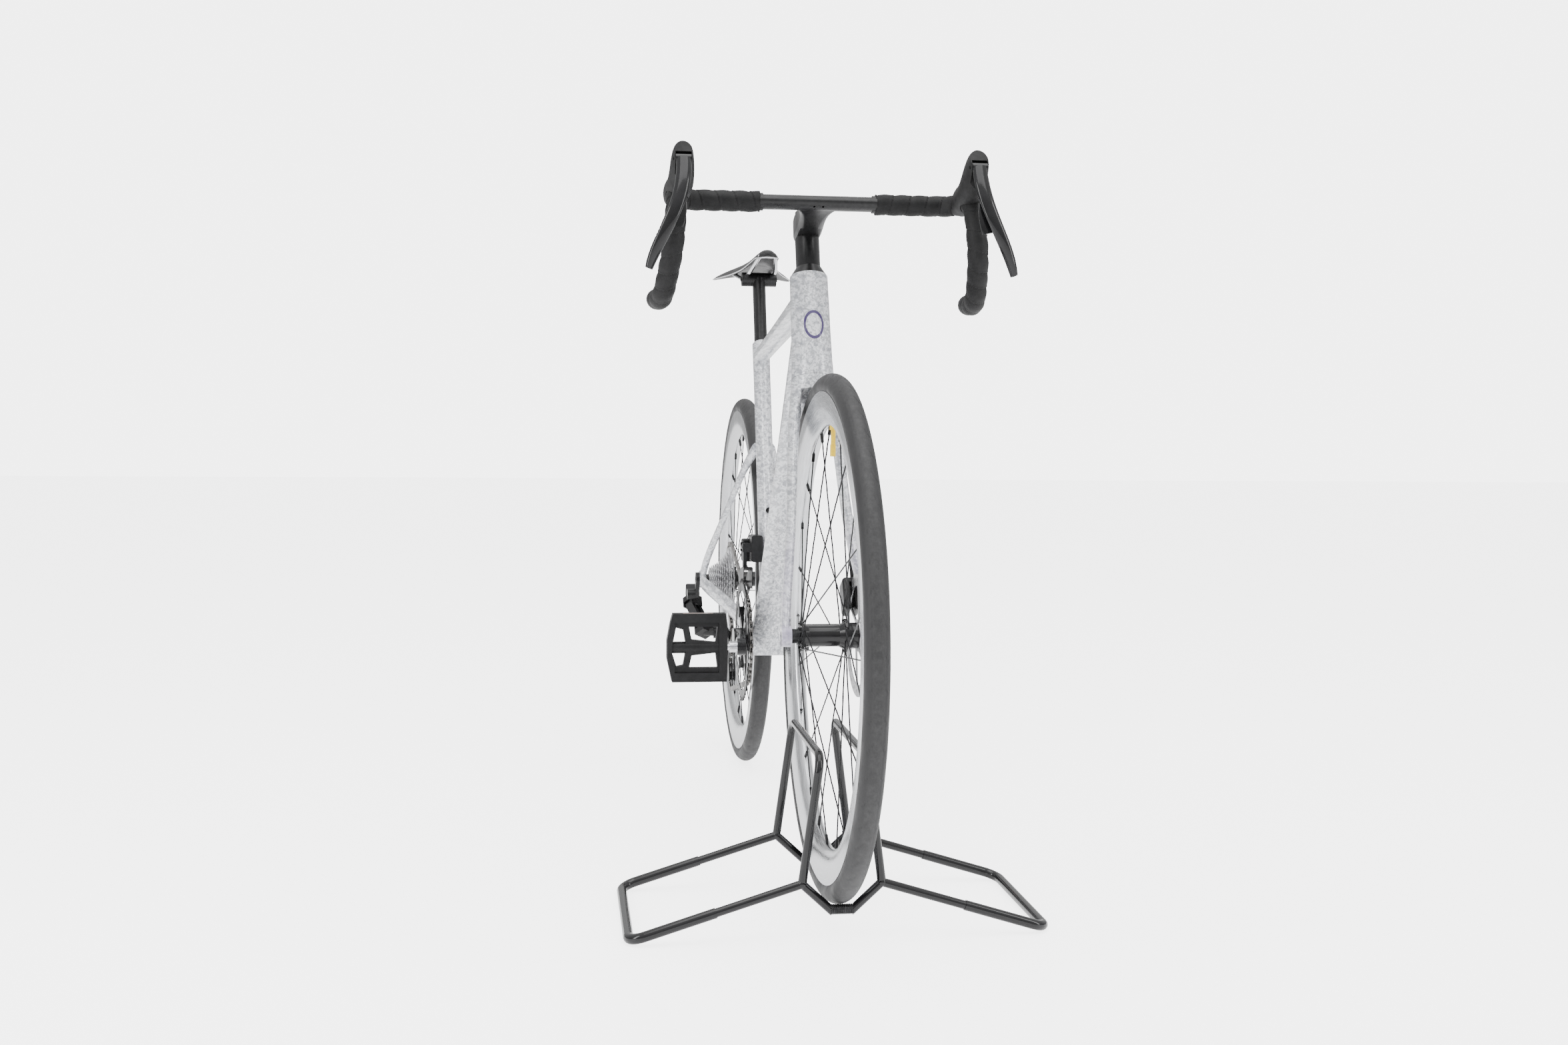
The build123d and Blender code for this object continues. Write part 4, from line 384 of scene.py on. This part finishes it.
def tube_along(name, path, radius, around, mat):
    """A closed tube whose radius is a number or depends on (distance, angle)."""
    verts = []
    distance = 0.0
    for i, (point, (tangent, side, up)) in enumerate(zip(path, frames_along(path))):
        if i:
            distance += (point - path[i - 1]).length
        for j in range(around):
            angle = 2 * math.pi * j / around
            r = radius(distance, angle) if callable(radius) else radius
            verts.append(point + side * (r * math.cos(angle)) + up * (r * math.sin(angle)))
    faces = grid_faces(len(path), around)
    faces.append(tuple(reversed(range(around))))
    faces.append(tuple(range(len(verts) - around, len(verts))))
    return new_object(name, verts, faces, mat)


def level(point):
    """From the level bicycle's millimetres (x from the rear axle, z from its ground line) to the scene."""
    x, y, z = point
    x, z = x / 1000, z / 1000 - REAR_AXLE.z
    cos_up, sin_up = math.cos(NOSE_UP), math.sin(NOSE_UP)
    return Vector((REAR_AXLE.x + x * cos_up - z * sin_up, y / 1000, REAR_AXLE.z + x * sin_up + z * cos_up))


# ------------------------------------------------------------------ finishes
MARK_PURPLE = (0.050, 0.032, 0.115)
MARK_HEIGHT = 0.775
MARK_FRONT = 0.318
MARK_HALF_WIDTH, MARK_HALF_HEIGHT = 0.014, 0.020
MARK_INNER = 0.62           # squared share of the mark at which its ring begins
LILAC = (0.36, 0.31, 0.47)


def ring_mark(tree, split):
    """A plain oval ring on the front of the head tube."""
    lift = math_node(tree, "SUBTRACT", split.outputs[2], MARK_HEIGHT)
    across = math_node(tree, "DIVIDE", split.outputs[1], MARK_HALF_WIDTH)
    along = math_node(tree, "DIVIDE", lift, MARK_HALF_HEIGHT)
    reach = math_node(tree, "ADD", math_node(tree, "MULTIPLY", across, across),
                      math_node(tree, "MULTIPLY", along, along))
    band = math_node(tree, "MULTIPLY", math_node(tree, "GREATER_THAN", reach, MARK_INNER),
                     math_node(tree, "LESS_THAN", reach, 1.0))
    ahead = math_node(tree, "GREATER_THAN", split.outputs[0], MARK_FRONT)
    return math_node(tree, "MULTIPLY", band, ahead)


def frame_decals(tree, tone):
    """A lilac blush under the lacquer, low on the fork, and a plain ring mark."""
    place = tree.nodes.new("ShaderNodeTexCoord")
    split = tree.nodes.new("ShaderNodeSeparateXYZ")
    tree.links.new(place.outputs["Object"], split.inputs[0])
    low = spread(tree, split.outputs[2], 1, 0, 0.40, 0.52)
    front = spread(tree, split.outputs[0], 0, 1, 0.30, 0.36)
    cloud = noise(tree, EVEN, 26, 3)
    mask = math_node(tree, "MULTIPLY", math_node(tree, "MULTIPLY", low, front), spread(tree, cloud, 0, 0.85))
    tone = mix(tree, mask, tone, LILAC)
    return mix(tree, ring_mark(tree, split), tone, MARK_PURPLE)


def pearl_white():
    strokes = crossing_angles((10, 20, 35), (-25, 10, 75), (40, -30, -20))
    return brushed_pearl("pearl_white_paint", (0.80, 0.81, 0.83), (0.24, 0.25, 0.28), (0.70, 0.71, 0.74),
                         strokes, frame_decals)


def chain_metal():
    """Steel plates with dark oily patches."""
    mat, tree, shader = new_material("chain_steel")
    cloud = noise(tree, EVEN, 90, 5)
    shade = ramp(tree, cloud, [(0.35, (0.10, 0.095, 0.09)), (0.7, (0.34, 0.33, 0.32))])
    grime = ramp(tree, noise(tree, EVEN, 24, 4), [(0.45, BLACK), (0.7, WHITE)])
    tree.links.new(mix(tree, math_node(tree, "MULTIPLY", grime, 0.6), shade, (0.035, 0.03, 0.027)),
                   shader.inputs["Base Color"])
    shader.inputs["Metallic"].default_value = 0.9
    tree.links.new(spread(tree, cloud, 0.25, 0.55), shader.inputs["Roughness"])
    bump(tree, shader, noise(tree, EVEN, 1400, 2), 0.00003)
    return mat


def plastic_lens(name, colour, dark):
    """A moulded reflector with a grid of small prisms."""
    mat, tree, shader = new_material(name)
    cells = tree.nodes.new("ShaderNodeTexVoronoi")
    cells.inputs["Scale"].default_value = 420
    cells.inputs["Randomness"].default_value = 0.0
    tree.links.new(coords(tree), cells.inputs["Vector"])
    prisms = ramp(tree, cells.outputs["Distance"], [(0.1, colour), (0.7, dark)])
    tree.links.new(prisms, shader.inputs["Base Color"])
    shader.inputs["Roughness"].default_value = 0.12
    shader.inputs["Coat Weight"].default_value = 1.0
    shader.inputs["Coat Roughness"].default_value = 0.03
    bump(tree, shader, cells.outputs["Distance"], 0.0004, 0.7)
    return mat


MATERIALS = {
    "pearl_white_paint": pearl_white(),
    "rim_silver": radial_metal("rim_silver_front", FRONT_AXLE, (0.50, 0.51, 0.53), (0.74, 0.75, 0.77),
                               (0.16, 0.30), 22),
    "bright_steel": radial_metal("bright_steel", FRONT_AXLE, (0.36, 0.36, 0.37), (0.62, 0.62, 0.63),
                                 (0.2, 0.38), 70),
    "chrome": plain("chrome", (0.62, 0.62, 0.64), (0.80, 0.80, 0.82), (0.05, 0.16), metal=1.0,
                    depth=0.000004),
    "black_gloss": plain("black_gloss", (0.004, 0.004, 0.0045), (0.010, 0.010, 0.011), (0.12, 0.26), scale=60,
                         depth=0.00001, coat=0.3, specular=0.25),
    "black_matte": plain("black_matte", (0.005, 0.005, 0.0055), (0.013, 0.013, 0.014), (0.42, 0.6), scale=70,
                         depth=0.00004, specular=0.3),
    "black_anodised": plain("black_anodised", (0.004, 0.004, 0.0045), (0.012, 0.012, 0.013), (0.26, 0.44),
                            metal=0.3, depth=0.00003),
    "black_steel": plain("black_steel", (0.010, 0.010, 0.0105), (0.032, 0.032, 0.034), (0.24, 0.42),
                         metal=0.8),
    "black_rubber": plain("black_rubber", (0.006, 0.006, 0.0062), (0.015, 0.015, 0.0155), (0.5, 0.72),
                          scale=120, depth=0.00012, fine=1300, specular=0.25),
    "tyre_rubber": plain("tyre_rubber", (0.040, 0.040, 0.041), (0.066, 0.066, 0.068), (0.5, 0.72), scale=60,
                         depth=0.00012, fine=1500, specular=0.25),
    "bar_tape_black": plain("bar_tape_black", (0.008, 0.008, 0.0082), (0.014, 0.014, 0.0145), (0.5, 0.66),
                            scale=120, depth=0.00005, fine=900, specular=0.2),
    "saddle_cover": plain("saddle_cover", (0.006, 0.006, 0.0063), (0.014, 0.014, 0.0145), (0.34, 0.52),
                          scale=160, depth=0.00015, fine=1400, specular=0.3),
    "amber_lens": plastic_lens("amber_lens", (0.75, 0.18, 0.01), (0.34, 0.06, 0.005)),
    "yellow_cap": plain("yellow_cap", (0.62, 0.40, 0.005), (0.80, 0.55, 0.01), (0.3, 0.45)),
    "stand_enamel": plain("stand_enamel", (0.004, 0.004, 0.0045), (0.009, 0.009, 0.010), (0.10, 0.2),
                          scale=30, depth=0.00003, coat=0.35, fine=160, specular=0.3),
    "spring_steel": plain("spring_steel", (0.012, 0.012, 0.013), (0.05, 0.05, 0.052), (0.2, 0.36),
                          metal=0.7),
    "chain_steel": chain_metal(),
}


def dress_nodes():
    """Give every CAD node the finish that its record names."""
    for name, obj in NODES.items():
        mat = MATERIALS[SLOT[name]]
        for index in range(len(obj.material_slots)):
            obj.material_slots[index].material = mat


# ------------------------------------------------------------------ tyres
def tyre_material():
    """Worn slick rubber: greyer on the crown, with faint scuffs round the wheel."""
    mat, tree, shader = new_material("tyre_worn")
    cloud = noise(tree, EVEN, 40, 6)
    tone = ramp(tree, cloud, [(0.3, (0.020, 0.020, 0.021)), (0.72, (0.030, 0.030, 0.031))])
    place = tree.nodes.new("ShaderNodeTexCoord")
    split = tree.nodes.new("ShaderNodeSeparateXYZ")
    tree.links.new(place.outputs["Object"], split.inputs[0])
    off_centre = math_node(tree, "ABSOLUTE", split.outputs[1])
    crown = spread(tree, off_centre, 1, 0, 0.004, 0.010)
    scuff = ramp(tree, noise(tree, EVEN, 130, 6, 0.7), [(0.40, (0.25, 0.25, 0.25)), (0.70, WHITE)])
    tone = mix(tree, math_node(tree, "MULTIPLY", crown, scuff), tone, (0.046, 0.046, 0.047))
    tree.links.new(tone, shader.inputs["Base Color"])
    tree.links.new(spread(tree, cloud, 0.42, 0.62), shader.inputs["Roughness"])
    shader.inputs["Specular IOR Level"].default_value = 0.3
    bump(tree, shader, noise(tree, EVEN, 1500, 2), 0.00012)
    return mat


TYRE_OUTER, TYRE_SECTION = 0.340, 0.01495
TYRE_MIDDLE = TYRE_OUTER - TYRE_SECTION
TREAD_WALL = 0.0035
RIM_EDGE = 0.3172
BEAD_FOOT = RIM_EDGE - 0.004
BEAD_SIDE, BEAD_WIDTH = 0.0100, 0.002
INNER_HALF_WIDTH = 0.0105
TYRE_SEGMENTS, SECTION_STEPS = 720, 48
# the shoulder line and the sipes: where they lie from the crown, and how deep
LINE_FROM, LINE_TO, LINE_DEPTH = 0.0072, 0.0080, 0.0003
SIPE_FROM, SIPE_TO, SIPE_DEPTH = 0.0035, 0.0098, 0.0007
SIPES = 60
SIPE_SLANT = 60             # turns of the sipe pattern for each metre away from the crown
SIPE_SHARE = 0.09           # how much of the spacing a sipe takes up


def slick_tyre(end, axle, mat):
    """A slick tyre with a faint shoulder line and shallow slanted sipes on both shoulders."""
    start = math.acos((RIM_EDGE - TYRE_MIDDLE) / TYRE_SECTION)
    profile = []
    for i in range(SECTION_STEPS + 1):
        angle = -start + 2 * start * i / SECTION_STEPS
        r, y = TYRE_MIDDLE + TYRE_SECTION * math.cos(angle), TYRE_SECTION * math.sin(angle)
        if LINE_FROM < abs(y) < LINE_TO:
            r -= LINE_DEPTH
        profile.append((r, y))
    inside = [(BEAD_FOOT, BEAD_SIDE), (BEAD_FOOT, BEAD_SIDE - BEAD_WIDTH), (TYRE_MIDDLE, INNER_HALF_WIDTH)]
    profile += inside
    profile.append((TYRE_MIDDLE + TYRE_SECTION - TREAD_WALL, 0.0))
    profile += [(r, -y) for r, y in reversed(inside)]
    profile.reverse()

    def sipe(angle, j):
        r, y = profile[j]
        if not SIPE_FROM < abs(y) < SIPE_TO or r < TYRE_MIDDLE:
            return 0.0
        phase = (angle * SIPES / (2 * math.pi) + abs(y) * SIPE_SLANT) % 1.0
        return -SIPE_DEPTH if phase < SIPE_SHARE else 0.0

    tyre = turned(end + "_tyre_worn", axle, profile, TYRE_SEGMENTS, mat, sipe)
    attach(tyre, end + "_wheel")
    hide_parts(end + "_tyre")


# ------------------------------------------------------------------ bar tape
BAR_TOP = (0.8658165, 0.9160747)
HOOD_Y = 0.192
TAPE_START = 0.080
TAPE_LEAD = 0.0005          # how far the winding begins ahead of the CAD's tape
BAR_BENDS = (0.032, 0.034, 0.060, 0.060)
TAPE_RADIUS, TAPE_PITCH = 0.01305, 0.024
TAPE_SWELL, TAPE_RISE = 0.00095, 0.0009
EDGE_START, EDGE_DROP = 0.955, 0.0014
TAPE_STEP, TAPE_AROUND = 0.0012, 64


def bar_route(side):
    """The bar from the tape's start by the stem, over the hood, round the drop and to its end."""
    x, z = BAR_TOP
    route = [(x, TAPE_START - TAPE_LEAD, z), (x, HOOD_Y + 0.002, z), (x + 0.083, HOOD_Y + 0.004, z - 0.003),
             (x + 0.089, HOOD_Y + 0.010, z - 0.077), (x + 0.036, HOOD_Y + 0.020, z - 0.137),
             (x - 0.019, HOOD_Y + 0.024, z - 0.132)]
    points = [level((px * 1000, side * py * 1000, pz * 1000)) for px, py, pz in route]
    return rounded_path(points, BAR_BENDS, TAPE_STEP)


def wrapped_tape(side, mat):
    """Tape wound on as an overlapping spiral: each turn swells and drops to the next at its edge."""
    def radius(distance, angle):
        turn = (distance / TAPE_PITCH + side * angle / (2 * math.pi)) % 1.0
        swell = TAPE_SWELL * math.sin(math.pi * min(turn / 0.8, 1.0)) + TAPE_RISE * turn
        edge = EDGE_DROP if turn > EDGE_START else 0.0
        return TAPE_RADIUS + swell - edge

    name = "tape_wrapped_" + ("left" if side > 0 else "right")
    tape = tube_along(name, bar_route(side), radius, TAPE_AROUND, mat)
    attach(tape, "steering")
    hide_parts("bar_tape")


# ------------------------------------------------------------------ saddle
# millimetres of the level bicycle, which level() takes to the scene
SEAT_CLAMP = (217.45, 900.12)
# forward of the clamp, half width, height of the crown over its middle, rise, droop of the edges
SADDLE_STATIONS = [
    (-142, 44, 8, 0, 6), (-138, 52, 10, 0, 8), (-122, 67, 12, -1, 14), (-100, 68, 13, -1, 17),
    (-70, 60, 13, 0, 18), (-35, 45, 13, 1, 17), (0, 32, 13, 3, 15), (35, 25, 13, 4, 12),
    (80, 21, 13, 5, 10), (112, 19, 12, 6, 9), (124, 16, 10, 6, 8), (130, 10, 7, 6, 5),
]
SADDLE_RINGS = 72
SADDLE_AROUND = 72
PAD_THICKNESS = 11
DIP_DEPTH, DIP_HALF_WIDTH = 4.0, 6.5        # the hollow along the saddle's middle
DIP_BACK, DIP_HALF_LENGTH = 8, 78           # its middle behind the clamp, and its reach each way
SEAM_SHARE, SEAM_DEPTH, SEAM_HALF_WIDTH = 0.62, 0.7, 0.9
# the saddle's edge bead is painted highlight: a chrome tube placed where the shell shows only a glossy edge
# highlight
HIGHLIGHT_BEAD_THICKNESS, HIGHLIGHT_BEAD_STEPS, HIGHLIGHT_BEAD_RADIUS = 10, 90, 0.0011
HIGHLIGHT_BEAD_AROUND = 10
HIGHLIGHT_BEAD_SKIPPED = 3                            # steps left open at the tail


def blended(stations, place):
    """Catmull-Rom between stations; place runs from 0 to one less than their number."""
    i = min(int(place), len(stations) - 2)
    t = place - i
    a, b, c, d = (stations[max(0, min(k, len(stations) - 1))] for k in (i - 1, i, i + 1, i + 2))
    return [0.5 * (2 * q + (r - p) * t + (2 * p - 5 * q + 4 * r - v) * t**2 + (3 * q - p - 3 * r + v) * t**3)
            for p, q, r, v in zip(a, b, c, d)]


def saddle_point(place, turn, thickness):
    """A point of the padded shell: place along the stations, turn round the section there."""
    forward, half, crown, rise, droop = blended(SADDLE_STATIONS, place)
    across = math.copysign(abs(math.cos(turn)) ** 0.9, math.cos(turn))
    lift = math.copysign(abs(math.sin(turn)) ** 0.75, math.sin(turn))
    y = half * across
    z = rise + crown - thickness / 2 - droop * abs(across) ** 2.1 + lift * thickness / 2
    if lift > 0:
        fade = max(0.0, 1 - ((forward + DIP_BACK) / DIP_HALF_LENGTH) ** 2)
        z -= DIP_DEPTH * fade * math.exp(-(y / DIP_HALF_WIDTH) ** 2)
        for seam in (SEAM_SHARE, -SEAM_SHARE):
            z -= SEAM_DEPTH * math.exp(-((across - seam) * half / SEAM_HALF_WIDTH) ** 2)
    return level((SEAT_CLAMP[0] + forward, y, SEAT_CLAMP[1] + z))


def saddle_pad(mat):
    """The cover over its padding, thinner at the nose and the tail."""
    last = len(SADDLE_STATIONS) - 1
    verts = []
    for i in range(SADDLE_RINGS):
        place = last * i / (SADDLE_RINGS - 1)
        swell = 0.55 + 0.45 * math.sin(math.pi * (i + 0.5) / SADDLE_RINGS) * 3
        thickness = PAD_THICKNESS * min(1.0, swell)
        for j in range(SADDLE_AROUND):
            verts.append(saddle_point(place, 2 * math.pi * j / SADDLE_AROUND, thickness))
    faces = grid_faces(SADDLE_RINGS, SADDLE_AROUND)
    for first, at_nose in ((0, False), (len(verts) - SADDLE_AROUND, True)):
        ring = list(range(first, first + SADDLE_AROUND))
        verts.append(sum((verts[k] for k in ring), Vector()) / SADDLE_AROUND)
        middle = len(verts) - 1
        for k in range(SADDLE_AROUND):
            pair = (ring[k], ring[(k + 1) % SADDLE_AROUND])
            faces.append((middle, *pair) if at_nose else (middle, *reversed(pair)))
    pad = new_object("saddle_padded", verts, faces, mat)
    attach(pad, "saddle")
    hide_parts("saddle")


def saddle_highlight_bead(mat):
    """A fine chrome bead along both edges, joined round the nose: painted highlight, standing in for the
    glossy edge highlight of the saddle's shell.
    """
    last = len(SADDLE_STATIONS) - 1
    steps = range(HIGHLIGHT_BEAD_SKIPPED, HIGHLIGHT_BEAD_STEPS + 1)
    rim = [saddle_point(last * i / HIGHLIGHT_BEAD_STEPS, 0.0, HIGHLIGHT_BEAD_THICKNESS) for i in steps]
    rim += [saddle_point(last * i / HIGHLIGHT_BEAD_STEPS, math.pi, HIGHLIGHT_BEAD_THICKNESS) for i in reversed(steps)]
    highlight_bead = tube_along("saddle_edge_highlight_bead", rim, HIGHLIGHT_BEAD_RADIUS, HIGHLIGHT_BEAD_AROUND, mat)
    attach(highlight_bead, "saddle")


# ------------------------------------------------------------------ the model
camera()
surround()
for light in LIGHTS:
    area_light(*light)
pale_floor()
dress_nodes()
tyre_mat = tyre_material()
slick_tyre("front", FRONT_AXLE, tyre_mat)
slick_tyre("rear", REAR_AXLE, tyre_mat)
for side in (-1, 1):
    wrapped_tape(side, MATERIALS["bar_tape_black"])
saddle_pad(MATERIALS["saddle_cover"])
# painted highlight: a chrome bead along the saddle's edges
saddle_highlight_bead(MATERIALS["chrome"])
